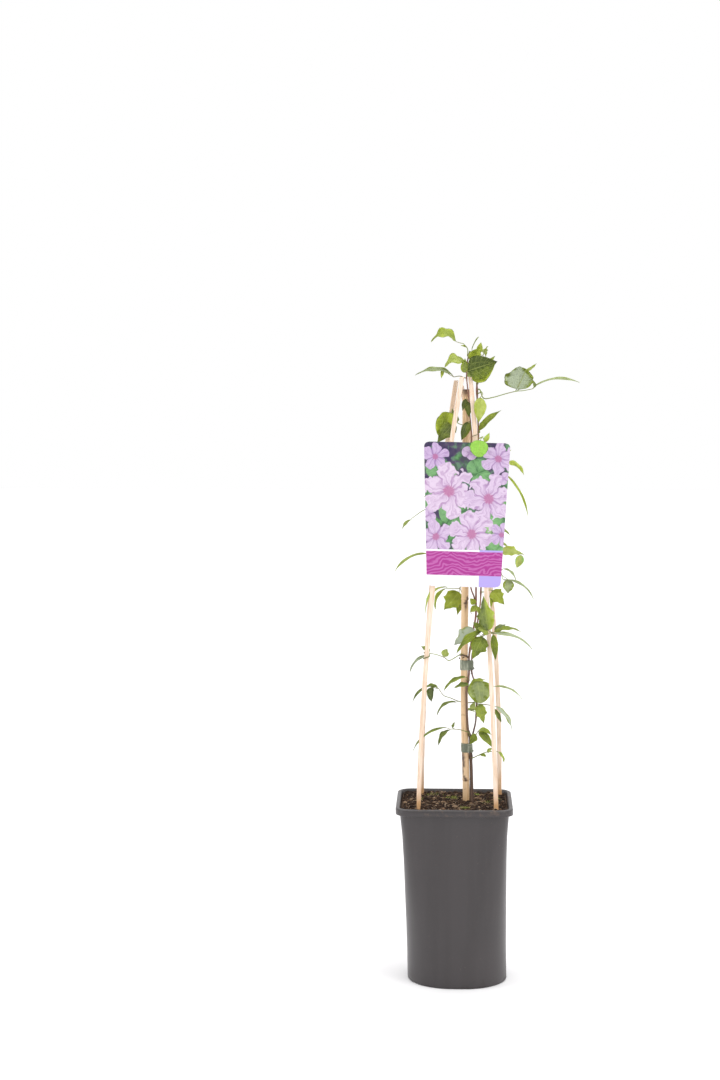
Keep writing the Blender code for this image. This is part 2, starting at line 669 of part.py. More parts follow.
def make_pot(collection, cutters, material):
    body_top = POT_BODY[-1][0] * MM
    rings = [pot_ring(z * MM) for z, half, corner in POT_BODY]
    for below_rim, inset in LIP_PROFILE:
        rings.append(lip_ring(POT_HEIGHT - below_rim * MM, inset * MM))
    inner = [z * MM for z, half, corner in reversed(POT_BODY) if POT_FLOOR < z * MM < body_top]
    for z in [body_top] + inner + [POT_FLOOR]:
        rings.append(pot_ring(z, POT_WALL))
    pot = add_object("pot", loft(rings, "pot"), collection, material)
    for k in range(DRAIN_HOLES):
        angle = (k + 0.5) * 2 * math.pi / DRAIN_HOLES
        bpy.ops.mesh.primitive_cylinder_add(
            vertices=DRAIN_SIDES,
            radius=DRAIN_RADIUS,
            depth=POT_FLOOR * 4,
            location=(DRAIN_RING * math.cos(angle), DRAIN_RING * math.sin(angle), POT_FLOOR / 2),
        )
        add_cutter(pot, bpy.context.object, cutters)
    return pot


def add_cutter(thing, cutter, cutters):
    """Cuts thing by cutter with a modifier that stays on it."""
    for holder in list(cutter.users_collection):
        holder.objects.unlink(cutter)
    cutters.objects.link(cutter)
    cutter.name = "cut_" + thing.name
    cutter.hide_render = True
    cutter.display_type = "WIRE"
    modifier = thing.modifiers.new("hole", "BOOLEAN")
    modifier.operation = "DIFFERENCE"
    modifier.solver = "EXACT"
    modifier.object = cutter


def make_soil(collection, material):
    draw = random.Random(7)
    rings = []
    for z in [POT_FLOOR + GAP] + [level * MM for level in SOIL_LEVELS]:
        rings.append(pot_ring(z, POT_WALL + GAP))
    edge = lip_ring(SOIL_EDGE, SOIL_INSET)
    rings.append(edge)
    centre = Vector((pot_shift(SOIL_EDGE), 0, SOIL_EDGE))
    for share in SOIL_RINGS:
        ring = [centre + (point - centre) * share for point in edge]
        for point in ring:
            point.z += SOIL_RISE * (1 - share ** 2) + draw.uniform(-SOIL_ROUGHNESS, SOIL_ROUGHNESS)
        rings.append(ring)
    return add_object("soil", loft(rings, "soil"), collection, material)


def stick_axis(name, z):
    """Where the middle of a stick is at height z: it bows out above the soil and is straight in it."""
    (foot_x, foot_y), (top_x, top_y), bow, top_z, foot_z = STICKS[name]
    share = (z - STICK_SOIL_Z) / (top_z * MM - STICK_SOIL_Z)
    curve = 4 * share * (1 - share) if share > 0 else 4 * share
    x = blend(foot_x, top_x, share) + bow * curve
    return Vector((x * MM, blend(foot_y, top_y, share) * MM, z))


def stick_mesh(name, extra=0.0):
    """A split stick, or with extra the slightly larger shape that makes its hole in the soil."""
    top_z = STICKS[name][3] * MM
    foot_z = STICKS[name][4] * MM - extra
    full_z = STICK_SOIL_Z + POINT_LENGTH
    heights = [foot_z, (foot_z + STICK_SOIL_Z) / 2]
    heights += [blend(STICK_SOIL_Z, top_z, k / STICK_STEPS) for k in range(STICK_STEPS + 1)]
    if name == POINTED_STICK:
        heights.insert(3, full_z)
    rings = []
    for z in heights:
        centre = stick_axis(name, z)
        width = STICK_WIDTH
        if name == POINTED_STICK:
            width *= min(1.0, blend(POINT_WIDTH, 1.0, (z - foot_z) / (full_z - foot_z)))
        x = width / 2 + extra
        y = STICK_DEPTH / 2 + extra
        cut = STICK_CHAMFER
        corners = ((x, -y + cut), (x, y - cut), (x - cut, y), (-x + cut, y),
                   (-x, y - cut), (-x, -y + cut), (-x + cut, -y), (x - cut, -y))
        rings.append([centre + Vector((dx, dy, 0)) for dx, dy in corners])
    return loft(rings, name)


def make_stick(name, collection, material):
    return add_object(name, stick_mesh(name), collection, material)


def cane_path():
    return smooth_path([millimetres(p) for p in CANE_ROUTE], 3)


def make_cane(collection, material):
    path = cane_path()
    heights = [p.z for p in path[::3]]
    heights += [(knot + step) * MM for knot in CANE_KNOTS for step in KNOT_STEPS]
    heights.sort()
    places = [at_height(path, z) for z in heights]
    radii = []
    for z in heights:
        near = min(abs(z - knot * MM) for knot in CANE_KNOTS)
        radii.append(CANE_RADIUS * (KNOT_SWELL if near < 2 * MM else 1.0))
    cane = tube("cane", places, radii, collection, CANE_SIDES)
    cane.data.materials.append(material)
    return cane


def stem_line(name):
    """A stem's path and its radius at each point of it."""
    cane = cane_path()
    path, radii = [], []
    turns = STEMS[name]["twine"]
    for (z0, turn0, r0), (z1, turn1, r1) in zip(turns, turns[1:]):
        steps = max(1, math.ceil(abs(turn1 - turn0) / TWINE_STEP))
        for k in range(steps):
            path.append(beside_cane(cane, *(blend(a, b, k / steps) for a, b in ((z0, z1), (turn0, turn1), (r0, r1)))))
            radii.append(blend(r0, r1, k / steps) * MM)
    if turns:
        path.append(beside_cane(cane, *turns[-1]))
        radii.append(turns[-1][2] * MM)
    for x, y, z, radius in STEMS[name]["free"]:
        path.append(millimetres((x, y, z)))
        radii.append(radius * MM)
    return path, radii


def beside_cane(cane, z, turn, radius):
    """The centre of a stem that lies against the cane at height z, on the side given by turn."""
    place = at_height(cane, z * MM)
    reach = CANE_RADIUS + STEM_GAP + radius * MM
    angle = math.radians(turn)
    return place + Vector((math.cos(angle), math.sin(angle), 0)) * reach


def radius_at(path, radii, z):
    for k in range(len(path) - 1):
        if path[k + 1].z >= z:
            return blend(radii[k], radii[k + 1], (z - path[k].z) / (path[k + 1].z - path[k].z))
    return radii[-1]


def make_stems(collection, material):
    """The brown stems: one woody stem that branches twice, and the stub of an old leaf stalk."""
    pieces = new_collection("stem pieces")
    rods = {}
    for name in STEMS:
        path, radii = stem_line(name)
        rods[name] = tube(name, path, radii, pieces, 1)
    stems = rods["leader"]
    pieces.objects.unlink(stems)
    collection.objects.link(stems)
    stems.name = "vine_stems"
    boolean(stems, "UNION", pieces, "MANIFOLD")
    drop_collection(pieces)
    tidy_union(stems.data)
    stems.data.materials.clear()
    stems.data.materials.append(material)
    return stems


def wrap_outline(circles, spread):
    """The tight loop round a set of circles, each (x, y, radius), spread outwards."""
    loop = []
    for k in range(TIE_POINTS):
        angle = 2 * math.pi * k / TIE_POINTS
        direction = Vector((math.cos(angle), math.sin(angle)))
        x, y, radius = max(circles, key=lambda c: c[0] * direction.x + c[1] * direction.y + c[2])
        loop.append(Vector((x, y)) + direction * (radius + spread))
    return loop


def tie_circles(z):
    """What a tie goes round at height z: the cane, and the stems that lie close to it."""
    cane = at_height(cane_path(), z)
    circles = [(cane.x, cane.y, CANE_RADIUS)]
    for name in STEMS:
        path, radii = stem_line(name)
        if path[0].z < z < path[-1].z:
            place = at_height(path, z)
            if (place - cane).length < TIE_REACH:
                circles.append((place.x, place.y, radius_at(path, radii, z)))
    return circles


def make_tie(name, collection, material):
    """A band of tape round the cane and the stems beside it."""
    low, high = (z * MM for z in TIES[name])
    rings = []
    for z, spread in ((low, GAP), (low, GAP + TIE_WALL), (high, GAP + TIE_WALL), (high, GAP)):
        rings.append([Vector((p.x, p.y, z)) for p in wrap_outline(tie_circles(z), spread)])
    rings.append(rings[0])
    band = loft(rings, name, closed_ends=False)
    body = bmesh.new()
    body.from_mesh(band)
    bmesh.ops.remove_doubles(body, verts=body.verts, dist=MERGE_DISTANCE)
    body.to_mesh(band)
    body.free()
    return add_object(name, band, collection, material)


def make_card(collection, material):
    """The picture card, a tapered sheet that bears on the two front sticks."""
    curve = bpy.data.curves.new("card", "CURVE")
    curve.dimensions = "2D"
    curve.fill_mode = "BOTH"
    curve.extrude = CARD_THICKNESS / 2
    corners = (
        (CARD_TOP_WIDTH / 2, CARD_LENGTH / 2, 0),
        (-CARD_TOP_WIDTH / 2, CARD_LENGTH / 2, 90),
        (-CARD_BOTTOM_WIDTH / 2, -CARD_LENGTH / 2, 180),
        (CARD_BOTTOM_WIDTH / 2, -CARD_LENGTH / 2, 270),
    )
    outline = []
    for x, y, start in corners:
        centre = Vector((x - math.copysign(CARD_CORNER, x), y - math.copysign(CARD_CORNER, y)))
        for k in range(CARD_CORNER_STEPS + 1):
            angle = math.radians(start + 90 * k / CARD_CORNER_STEPS)
            outline.append(centre + Vector((math.cos(angle), math.sin(angle))) * CARD_CORNER)
    spline = curve.splines.new("POLY")
    spline.points.add(len(outline) - 1)
    spline.use_cyclic_u = True
    for point, place in zip(spline.points, outline):
        point.co = (place.x, place.y, 0.0, 1.0)
    sheet = bpy.data.objects.new("card_curve", curve)
    collection.objects.link(sheet)
    low = stick_axis("stick_front_left", CARD_CENTRE_Z - CARD_LENGTH / 2)
    high = stick_axis("stick_front_left", CARD_CENTRE_Z + CARD_LENGTH / 2)
    lean = math.atan2(high.y - low.y, high.z - low.z)
    face_y = (low.y + high.y) / 2 - STICK_DEPTH / 2
    sheet.matrix_world = (
        Matrix.Translation((CARD_CENTRE_X, face_y - GAP - CARD_THICKNESS / 2, CARD_CENTRE_Z))
        @ Matrix.Rotation(math.pi / 2 - lean, 4, "X")
        @ Matrix.Rotation(CARD_ROLL, 4, "Z")
    )
    bpy.context.view_layer.update()
    mesh = evaluated_mesh(sheet)
    body = bmesh.new()
    body.from_mesh(mesh)
    bmesh.ops.remove_doubles(body, verts=body.verts, dist=MERGE_DISTANCE)
    body.to_mesh(mesh)
    body.free()
    card = add_object("picture_card", mesh, collection, material)
    card.matrix_world = sheet.matrix_world
    bpy.data.objects.remove(sheet, do_unlink=True)
    return card


def half_width(form, share):
    """Half width of a leaflet at a share of its length, as a share of its full width."""
    peak, fullness = FORMS[form]
    a = fullness * peak
    b = fullness * (1 - peak)
    outline = (share / peak) ** a * ((1 - share) / (1 - peak)) ** b
    if form == "lobed":
        outline *= 1 + sum(depth * math.exp(-((share - at) / LOBE_SPREAD) ** 2) for at, depth in LOBES)
    return outline / 2


def midrib(base, tip, faces, arch, share):
    """A point of a leaflet's midrib, its direction, and the direction that the upper side faces there."""
    chord = tip - base
    up = faces - chord * (faces.dot(chord) / chord.length_squared)
    up.normalize()
    bend = (base + tip) / 2 + up * arch * 2
    point = base * (1 - share) ** 2 + bend * 2 * share * (1 - share) + tip * share ** 2
    along = ((bend - base) * (1 - share) + (tip - bend) * share).normalized()
    across = along.cross(up).normalized()
    return point, along, across.cross(along)


def blade(name, leaflet, root, start, collection, draw):
    """A leaflet: an open waved sheet that starts as a strip inside the stalk, thickened on both sides."""
    joint, base, tip, width, faces, arch, form = leaflet
    base, tip, faces = millimetres(base), millimetres(tip), Vector(faces)
    length = (tip - base).length
    stations = 3 + (length > LONG_LEAFLET) + (length > LONGER_LEAFLET) + (form == "lobed")
    phase = draw.uniform(0, 2 * math.pi)
    rows = []
    point, along, up = midrib(base, tip, faces, arch * MM, 0.0)
    if (base - root).length > STALK_RADIUS:
        along = (base - root).normalized()
        across = along.cross(up).normalized()
        inside = root - along * start
        rows.append([inside + across * side * RIB_HALF for side in (-1, 0, 1)])
    for k in range(stations + 1):
        share = blend(OUTLINE_START, OUTLINE_END, k / stations)
        point, along, up = midrib(base, tip, faces, arch * MM, share)
        across = along.cross(up)
        half = max(half_width(form, share) * width * MM, RIB_HALF)
        row = []
        for side in (-1, 0, 1):
            ripple = WAVE * math.sin(WAVE_PITCH * share + phase + side) * half
            row.append(point + across * side * half + up * abs(side) * (half * math.tan(FOLD) + ripple))
        rows.append(row)
    triangles = []
    for k in range(len(rows) - 1):
        a = k * 3
        triangles += [(a, a + 3, a + 1), (a + 1, a + 3, a + 4), (a + 1, a + 4, a + 5), (a + 1, a + 5, a + 2)]
    sheet = add_object(name, mesh_from(sum(rows, []), triangles, name), collection)
    solid = sheet.modifiers.new("thickness", "SOLIDIFY")
    solid.thickness = BLADE_THICKNESS
    solid.offset = 0.0
    bpy.context.view_layer.update()
    mesh = evaluated_mesh(sheet)
    sheet.modifiers.clear()
    sheet.data = mesh


def stalk_path(growth):
    """A leaf stalk's route from the side, or from the end, of the stem that carries it."""
    stem, radii = stem_line(growth["stem"])
    route = [millimetres(p) for p in growth["stalk"]]
    if growth["axil"] == "end":
        along = (stem[-1] - stem[-2]).normalized()
        return [stem[-1] + along * GAP, stem[-1] + along * STALK_STAND_OFF] + route
    z = growth["axil"] * MM
    on_stem = at_height(stem, z)
    away = route[0] - on_stem
    away.z = 0
    away.normalize()
    reach = radius_at(stem, radii, z) + STALK_GAP
    return [on_stem + away * reach, on_stem + away * (reach + STALK_STAND_OFF)] + route


def make_growth(name, collection, material, draw):
    """A green leaf stalk with its leaflets, fused in one body that starts at its stem."""
    growth = GROWTHS[name]
    path = stalk_path(growth)
    radii = [blend(STALK_RADIUS, STALK_TIP_RADIUS, k / (len(path) - 1)) for k in range(len(path))]
    stalk = tube(name, path, radii, collection, 0)
    pieces = new_collection("pieces of " + name)
    for number, leaflet in enumerate(growth["leaflets"]):
        root = millimetres(growth["stalk"][leaflet[0]])
        start = (STRIP_STARTS[0] + STRIP_STARTS[1] * number) * MM
        blade(f"{name}_{number}", leaflet, root, start, pieces, draw)
    boolean(stalk, "UNION", pieces, "MANIFOLD")
    drop_collection(pieces)
    tidy_union(stalk.data)
    stalk.data.materials.clear()
    stalk.data.materials.append(material)
    return stalk


def cut_planting_holes(soil, cutters):
    for name in STICKS:
        hole = add_object("hole_" + name, stick_mesh(name, GAP), cutters)
        add_cutter(soil, hole, cutters)
    path = [at_height(cane_path(), z * MM) for z in CANE_HOLE]
    path[0].z -= GAP
    hole = tube("hole_cane", path, [CANE_RADIUS + 2 * GAP] * len(path), cutters, CANE_SIDES)
    add_cutter(soil, hole, cutters)
    path, radii = stem_line("leader")
    path = path[:3]
    path[0].z -= GAP
    hole = tube("hole_stem", path, [radii[0] + 2 * GAP] * len(path), cutters, CANE_SIDES)
    add_cutter(soil, hole, cutters)


def main():
    clear_scene()
    plant = new_collection("potted_clematis")
    cutters = new_collection("cutters")
    dark_plastic = make_material("dark plastic", (0.075, 0.068, 0.07), 0.55)
    potting_soil = make_material("potting soil", (0.055, 0.035, 0.022), 0.95)
    split_wood = make_material("split wood", (0.78, 0.58, 0.40), 0.65)
    bamboo = make_material("bamboo", (0.66, 0.46, 0.26), 0.5)
    grey_tape = make_material("grey tape", (0.16, 0.20, 0.16), 0.5)
    printed_card = make_material("printed card", (0.55, 0.36, 0.52), 0.35)
    bark = make_material("vine bark", (0.13, 0.07, 0.05), 0.7)
    leaf = make_material("leaf", (0.13, 0.22, 0.035), 0.45)
    make_pot(plant, cutters, dark_plastic)
    soil = make_soil(plant, potting_soil)
    cut_planting_holes(soil, cutters)
    for name in STICKS:
        make_stick(name, plant, split_wood)
    make_cane(plant, bamboo)
    for name in TIES:
        make_tie(name, plant, grey_tape)
    make_card(plant, printed_card)
    make_stems(plant, bark)
    draw = random.Random(11)
    for name in GROWTHS:
        make_growth(name, plant, leaf, draw)


main()
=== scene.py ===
import math
import random

import bpy
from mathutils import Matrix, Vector, noise


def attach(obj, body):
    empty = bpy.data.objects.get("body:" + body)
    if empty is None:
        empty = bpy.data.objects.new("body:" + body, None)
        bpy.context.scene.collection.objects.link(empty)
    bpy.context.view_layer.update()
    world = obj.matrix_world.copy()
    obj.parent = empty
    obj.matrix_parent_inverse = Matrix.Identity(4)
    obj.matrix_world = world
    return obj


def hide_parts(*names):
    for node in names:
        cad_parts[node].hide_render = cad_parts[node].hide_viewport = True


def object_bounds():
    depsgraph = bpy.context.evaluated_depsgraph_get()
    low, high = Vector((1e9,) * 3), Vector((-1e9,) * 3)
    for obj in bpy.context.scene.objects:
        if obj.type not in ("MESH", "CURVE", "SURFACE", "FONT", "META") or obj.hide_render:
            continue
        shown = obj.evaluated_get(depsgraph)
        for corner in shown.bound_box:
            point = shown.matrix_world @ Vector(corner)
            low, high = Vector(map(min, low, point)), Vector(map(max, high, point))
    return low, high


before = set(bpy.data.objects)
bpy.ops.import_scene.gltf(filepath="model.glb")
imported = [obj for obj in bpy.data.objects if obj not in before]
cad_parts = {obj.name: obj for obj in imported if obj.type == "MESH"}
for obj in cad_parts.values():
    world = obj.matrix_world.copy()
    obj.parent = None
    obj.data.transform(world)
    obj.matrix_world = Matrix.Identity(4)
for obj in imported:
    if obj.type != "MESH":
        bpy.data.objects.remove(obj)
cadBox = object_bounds()
mm = 0.001
print("frame loaded:", len(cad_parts), "nodes")

# Camera, light and floor

view = {"place": (-0.0074, -2.509, 0.707), "tilt": 85.87, "turn": 2.5, "lens": 70.57, "film": 36.0}
studio = {
    # what the room sends from the front, from behind the plant, from overhead, and what the camera sees of it
    "front": 0.42, "back": 0.95, "above": 0.85, "seen": 1.0,
    "sun": {"turn": (40, 0, 24), "strength": 0.95, "softness": 70},
    "lamps": {
        "boxRight": {"place": (1.3, -1.2, 1.0), "aim": (0, 0, 0.35), "size": (0.7, 1.6), "watts": 8},
        "boxLeft": {"place": (-1.7, -0.5, 0.9), "aim": (0, 0, 0.3), "size": (0.6, 1.8), "watts": 8},
    },
}

cameraData = bpy.data.cameras.new("photoCamera")
cameraData.sensor_fit = "VERTICAL"
cameraData.sensor_height = view["film"]
cameraData.lens = view["lens"]
cameraData.clip_end = 60
photoCamera = bpy.data.objects.new("photoCamera", cameraData)
bpy.context.scene.collection.objects.link(photoCamera)
photoCamera.location = view["place"]
photoCamera.rotation_euler = (math.radians(view["tilt"]), 0, math.radians(view["turn"]))
bpy.context.scene.camera = photoCamera
bpy.context.scene.view_settings.view_transform = "Standard"

sun = bpy.data.objects.new("softSun", bpy.data.lights.new("softSun", "SUN"))
sun.data.energy = studio["sun"]["strength"]
sun.data.angle = math.radians(studio["sun"]["softness"])
sun.rotation_euler = [math.radians(turn) for turn in studio["sun"]["turn"]]
bpy.context.scene.collection.objects.link(sun)

for name, lamp in studio["lamps"].items():
    data = bpy.data.lights.new(name, "AREA")
    data.shape = "RECTANGLE"
    data.size, data.size_y = lamp["size"]
    data.energy = lamp["watts"]
    light = bpy.data.objects.new(name, data)
    light.location = lamp["place"]
    light.rotation_euler = (Vector(lamp["place"]) - Vector(lamp["aim"])).to_track_quat("Z", "Y").to_euler()
    bpy.context.scene.collection.objects.link(light)


# Shader tools

def addNode(tree, kind, inputs=None, **settings):
    made = tree.nodes.new("ShaderNode" + kind)
    for key, value in settings.items():
        setattr(made, key, value)
    for key, value in (inputs or {}).items():
        if isinstance(value, bpy.types.NodeSocket):
            tree.links.new(value, made.inputs[key])
        else:
            made.inputs[key].default_value = value
    return made


def calc(tree, operation, a, b=0.0, c=0.0, clamp=False):
    return addNode(tree, "Math", {0: a, 1: b, 2: c}, operation=operation, use_clamp=clamp).outputs[0]


# from start to end, smoothly, as value goes from low to high
def fade(tree, value, low, high, start=0.0, end=1.0):
    return addNode(tree, "MapRange", {"Value": value, "From Min": low, "From Max": high, "To Min": start, "To Max": end},
                   interpolation_type="SMOOTHSTEP").outputs["Result"]


def mixColour(tree, share, a, b, kind="MIX"):
    made = tree.nodes.new("ShaderNodeMix")
    made.data_type = "RGBA"
    made.blend_type = kind
    for index, value in ((0, share), (6, a), (7, b)):
        if isinstance(value, bpy.types.NodeSocket):
            tree.links.new(value, made.inputs[index])
        elif index:
            made.inputs[index].default_value = (*value, 1)
        else:
            made.inputs[index].default_value = value
    return made.outputs[2]


def ramp(tree, share, stops):
    made = addNode(tree, "ValToRGB", {"Fac": share})
    while len(made.color_ramp.elements) < len(stops):
        made.color_ramp.elements.new(0.5)
    for element, (place, colour) in zip(made.color_ramp.elements, stops):
        element.position = place
        element.color = (*colour, 1)
    return made.outputs["Color"]


def newGroup(name, inputs, outputs):
    group = bpy.data.node_groups.new(name, "ShaderNodeTree")
    for label, kind, value in inputs:
        socket = group.interface.new_socket(label, in_out="INPUT", socket_type="NodeSocket" + kind)
        if value is not None:
            socket.default_value = value
    for label in outputs:
        group.interface.new_socket(label, in_out="OUTPUT", socket_type="NodeSocketFloat")
    return group, group.nodes.new("NodeGroupInput").outputs, group.nodes.new("NodeGroupOutput").inputs


def useGroup(tree, group, **inputs):
    made = tree.nodes.new("ShaderNodeGroup")
    made.node_tree = group
    for key, value in inputs.items():
        if isinstance(value, bpy.types.NodeSocket):
            tree.links.new(value, made.inputs[key])
        else:
            made.inputs[key].default_value = value
    return made.outputs


# The room: a white sweep behind and beside the plant, dimmer behind the camera
room = bpy.data.worlds.new("paleRoom")
room.use_nodes = True
roomTree = room.node_tree
way = addNode(roomTree, "SeparateXYZ", {0: roomTree.nodes.new("ShaderNodeTexCoord").outputs["Generated"]})
sweep = fade(roomTree, way.outputs["Y"], -0.45, 0.15, studio["front"], studio["back"])
sweep = calc(roomTree, "ADD", sweep, fade(roomTree, way.outputs["Z"], 0.3, 0.95, 0.0, studio["above"]))
cameraSees = roomTree.nodes.new("ShaderNodeLightPath").outputs["Is Camera Ray"]
strength = calc(roomTree, "MAXIMUM", sweep, calc(roomTree, "MULTIPLY", cameraSees, studio["seen"]))
roomTree.links.new(strength, roomTree.nodes["Background"].inputs["Strength"])
roomTree.nodes["Background"].inputs["Color"].default_value = (1, 1, 1, 1)
bpy.context.scene.world = room

# Patches of uneven size, for stains, dust and patchy colour
blotches, given, put = newGroup(
    "blotches", (("Place", "Vector", None), ("Scale", "Float", 40.0), ("Low", "Float", 0.45), ("High", "Float", 0.6)),
    ("Mask",))
cloud = addNode(blotches, "TexNoise", {"Vector": given["Place"], "Scale": given["Scale"], "Detail": 5.0, "Roughness": 0.6})
blotches.links.new(fade(blotches, cloud.outputs["Fac"], given["Low"], given["High"]), put["Mask"])

# Lengthwise fibres, for wood, bamboo and bark: the place is squeezed along the grain
fibres, given, put = newGroup(
    "fibres", (("Place", "Vector", None), ("Across", "Float", 900.0), ("Along", "Float", 18.0)), ("Streaks", "Height"))
squeeze = addNode(fibres, "CombineXYZ", {"X": given["Across"], "Y": given["Across"], "Z": given["Along"]})
drawn = addNode(fibres, "VectorMath", {0: given["Place"], 1: squeeze.outputs[0]}, operation="MULTIPLY")
coarse = addNode(fibres, "TexNoise", {"Vector": drawn.outputs[0], "Scale": 0.35, "Detail": 3.0})
fine = addNode(fibres, "TexNoise", {"Vector": drawn.outputs[0], "Scale": 1.6, "Detail": 4.0, "Roughness": 0.7})
fibres.links.new(fade(fibres, coarse.outputs["Fac"], 0.38, 0.64), put["Streaks"])
fibres.links.new(calc(fibres, "ADD", fine.outputs["Fac"], calc(fibres, "MULTIPLY", coarse.outputs["Fac"], 0.8)), put["Height"])

# How high above the ground something is, with a ragged edge: damp feet, soil splashes
lowMark, given, put = newGroup(
    "lowMark", (("Place", "Vector", None), ("Top", "Float", 0.03), ("Softness", "Float", 0.02), ("Ragged", "Float", 0.02)),
    ("Mask",))
height = addNode(lowMark, "SeparateXYZ", {0: given["Place"]}).outputs["Z"]
ragged = addNode(lowMark, "TexNoise", {"Vector": given["Place"], "Scale": 55.0, "Detail": 4.0}).outputs["Fac"]
shifted = calc(lowMark, "ADD", height, calc(lowMark, "MULTIPLY", calc(lowMark, "SUBTRACT", ragged, 0.5), given["Ragged"]))
over = calc(lowMark, "DIVIDE", calc(lowMark, "SUBTRACT", given["Top"], shifted), given["Softness"], clamp=True)
lowMark.links.new(over, put["Mask"])

# Fine even grain of moulded plastic, tape and card
fineGrain, given, put = newGroup("fineGrain", (("Place", "Vector", None), ("Scale", "Float", 1500.0)), ("Height",))
grain = addNode(fineGrain, "TexNoise", {"Vector": given["Place"], "Scale": given["Scale"], "Detail": 2.0})
fineGrain.links.new(grain.outputs["Fac"], put["Height"])

# Veins of a leaflet. Place is (across from -1 to 1, along from 0 to 1, a number of its own)
leafVeins, given, put = newGroup("leafVeins", (("Place", "Vector", None),), ("Veins", "Height"))
parts = addNode(leafVeins, "SeparateXYZ", {0: given["Place"]})
across = calc(leafVeins, "ABSOLUTE", parts.outputs["X"])
along = parts.outputs["Y"]
midline = fade(leafVeins, across, 0.02, 0.075, 1.0, 0.0)
bowed = calc(leafVeins, "MULTIPLY", 0.52, calc(leafVeins, "POWER", calc(leafVeins, "SUBTRACT", 1.0, along, clamp=True), 0.45))
bowGap = calc(leafVeins, "ABSOLUTE", calc(leafVeins, "SUBTRACT", across, bowed))
bows = fade(leafVeins, bowGap, 0.012, 0.05, 0.75, 0.0)
slanted = calc(leafVeins, "MULTIPLY", calc(leafVeins, "SUBTRACT", along, calc(leafVeins, "MULTIPLY", across, 0.22)), 6.5)
step = calc(leafVeins, "ABSOLUTE", calc(leafVeins, "SUBTRACT", calc(leafVeins, "FRACT", slanted), 0.5))
slants = fade(leafVeins, step, 0.03, 0.13, 0.5, 0.0)
netPlace = addNode(leafVeins, "VectorMath", {0: given["Place"], 1: (4.5, 11.0, 3.0)}, operation="MULTIPLY")
netCells = addNode(leafVeins, "TexVoronoi", {"Vector": netPlace.outputs[0], "Scale": 1.6}, feature="DISTANCE_TO_EDGE")
netLines = fade(leafVeins, netCells.outputs["Distance"], 0.02, 0.12, 0.3, 0.0)
veins = calc(leafVeins, "MAXIMUM", calc(leafVeins, "MAXIMUM", midline, bows), calc(leafVeins, "MAXIMUM", slants, netLines))
leafVeins.links.new(veins, put["Veins"])
leafVeins.links.new(calc(leafVeins, "SUBTRACT", 1.0, veins), put["Height"])


# a material, its Principled shader and the object's coordinates
def newMaterial(name, roughness, specular=0.5, **constants):
    material = bpy.data.materials.new(name)
    material.use_nodes = True
    tree = material.node_tree
    shader = tree.nodes["Principled BSDF"]
    shader.inputs["Roughness"].default_value = roughness
    shader.inputs["Specular IOR Level"].default_value = specular
    for key, value in constants.items():
        shader.inputs[key.replace("_", " ")].default_value = value
    place = tree.nodes.new("ShaderNodeTexCoord").outputs["Object"]
    return material, tree, shader, place


def setBump(tree, shader, height, strength, distance):
    bump = addNode(tree, "Bump", {"Height": height, "Strength": strength, "Distance": distance})
    tree.links.new(bump.outputs["Normal"], shader.inputs["Normal"])


# Mesh tools

# Collects rows of points, and what each point carries, into one mesh
class Skin:
    def __init__(self):
        self.points, self.faces, self.marks, self.places, self.tones = [], [], [], [], []

    def add(self, rows, mark=0, ring=False, ends=False, places=None, tone=(0.5, 0.0), marks=None):
        start, count = len(self.points), len(rows[0])
        for r, row in enumerate(rows):
            for k, point in enumerate(row):
                self.points.append(point)
                self.places.append(places[r][k] if places else (0.0, r / max(1, len(rows) - 1), 0.0))
                self.tones.append(tone)
        for r in range(len(rows) - 1):
            for k in range(count if ring else count - 1):
                a, b = start + r * count + k, start + r * count + (k + 1) % count
                self.faces.append((a, b, b + count, a + count))
                self.marks.append(marks[k] if marks else mark)
        if ends:
            self.faces.append(tuple(start + k for k in reversed(range(count))))
            self.faces.append(tuple(len(self.points) - count + k for k in range(count)))
            self.marks += [mark, mark]

    def addShape(self, points, faces, mark=0, tone=(0.5, 0.0)):
        start = len(self.points)
        self.points += points
        self.places += [(0.0, 0.0, 0.0)] * len(points)
        self.tones += [tone] * len(points)
        self.faces += [tuple(start + i for i in face) for face in faces]
        self.marks += [mark] * len(faces)

    def make(self, name, materials, nodes=(), flat=False):
        mesh = bpy.data.meshes.new(name)
        mesh.from_pydata(self.points, [], self.faces)
        for material in materials:
            mesh.materials.append(material)
        mesh.polygons.foreach_set("material_index", self.marks)
        place = mesh.attributes.new("leafPlace", "FLOAT_VECTOR", "POINT")
        place.data.foreach_set("vector", [value for spot in self.places for value in spot])
        for label, index in (("tone", 0), ("grey", 1)):
            layer = mesh.attributes.new(label, "FLOAT", "POINT")
            layer.data.foreach_set("value", [tone[index] for tone in self.tones])
        mesh.validate()
        if not flat:
            mesh.shade_smooth()
        piece = bpy.data.objects.new(name, mesh)
        bpy.context.scene.collection.objects.link(piece)
        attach(piece, "root")
        if nodes:
            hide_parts(*nodes)
        return piece


def blend(a, b, share):
    return a + (b - a) * share


# a Catmull-Rom curve through the points
def smoothPath(points, steps):
    ends = [points[0] * 2 - points[1]] + list(points) + [points[-1] * 2 - points[-2]]
    path = []
    for i in range(1, len(ends) - 2):
        before, start, end, after = ends[i - 1:i + 3]
        for k in range(steps):
            t = k / steps
            path.append(0.5 * (2 * start + (end - before) * t + (2 * before - 5 * start + 4 * end - after) * t * t
                               + (3 * start - before - 3 * end + after) * t ** 3))
    path.append(points[-1])
    return path


def atHeight(path, z):
    for low, high in zip(path, path[1:]):
        if high.z >= z:
            return blend(low, high, max(0.0, (z - low.z) / (high.z - low.z)))
    return path[-1]


# values at the points that smoothPath puts between the given ones
def spread(values, steps):
    return [blend(a, b, k / steps) for a, b in zip(values, values[1:]) for k in range(steps)] + [values[-1]]


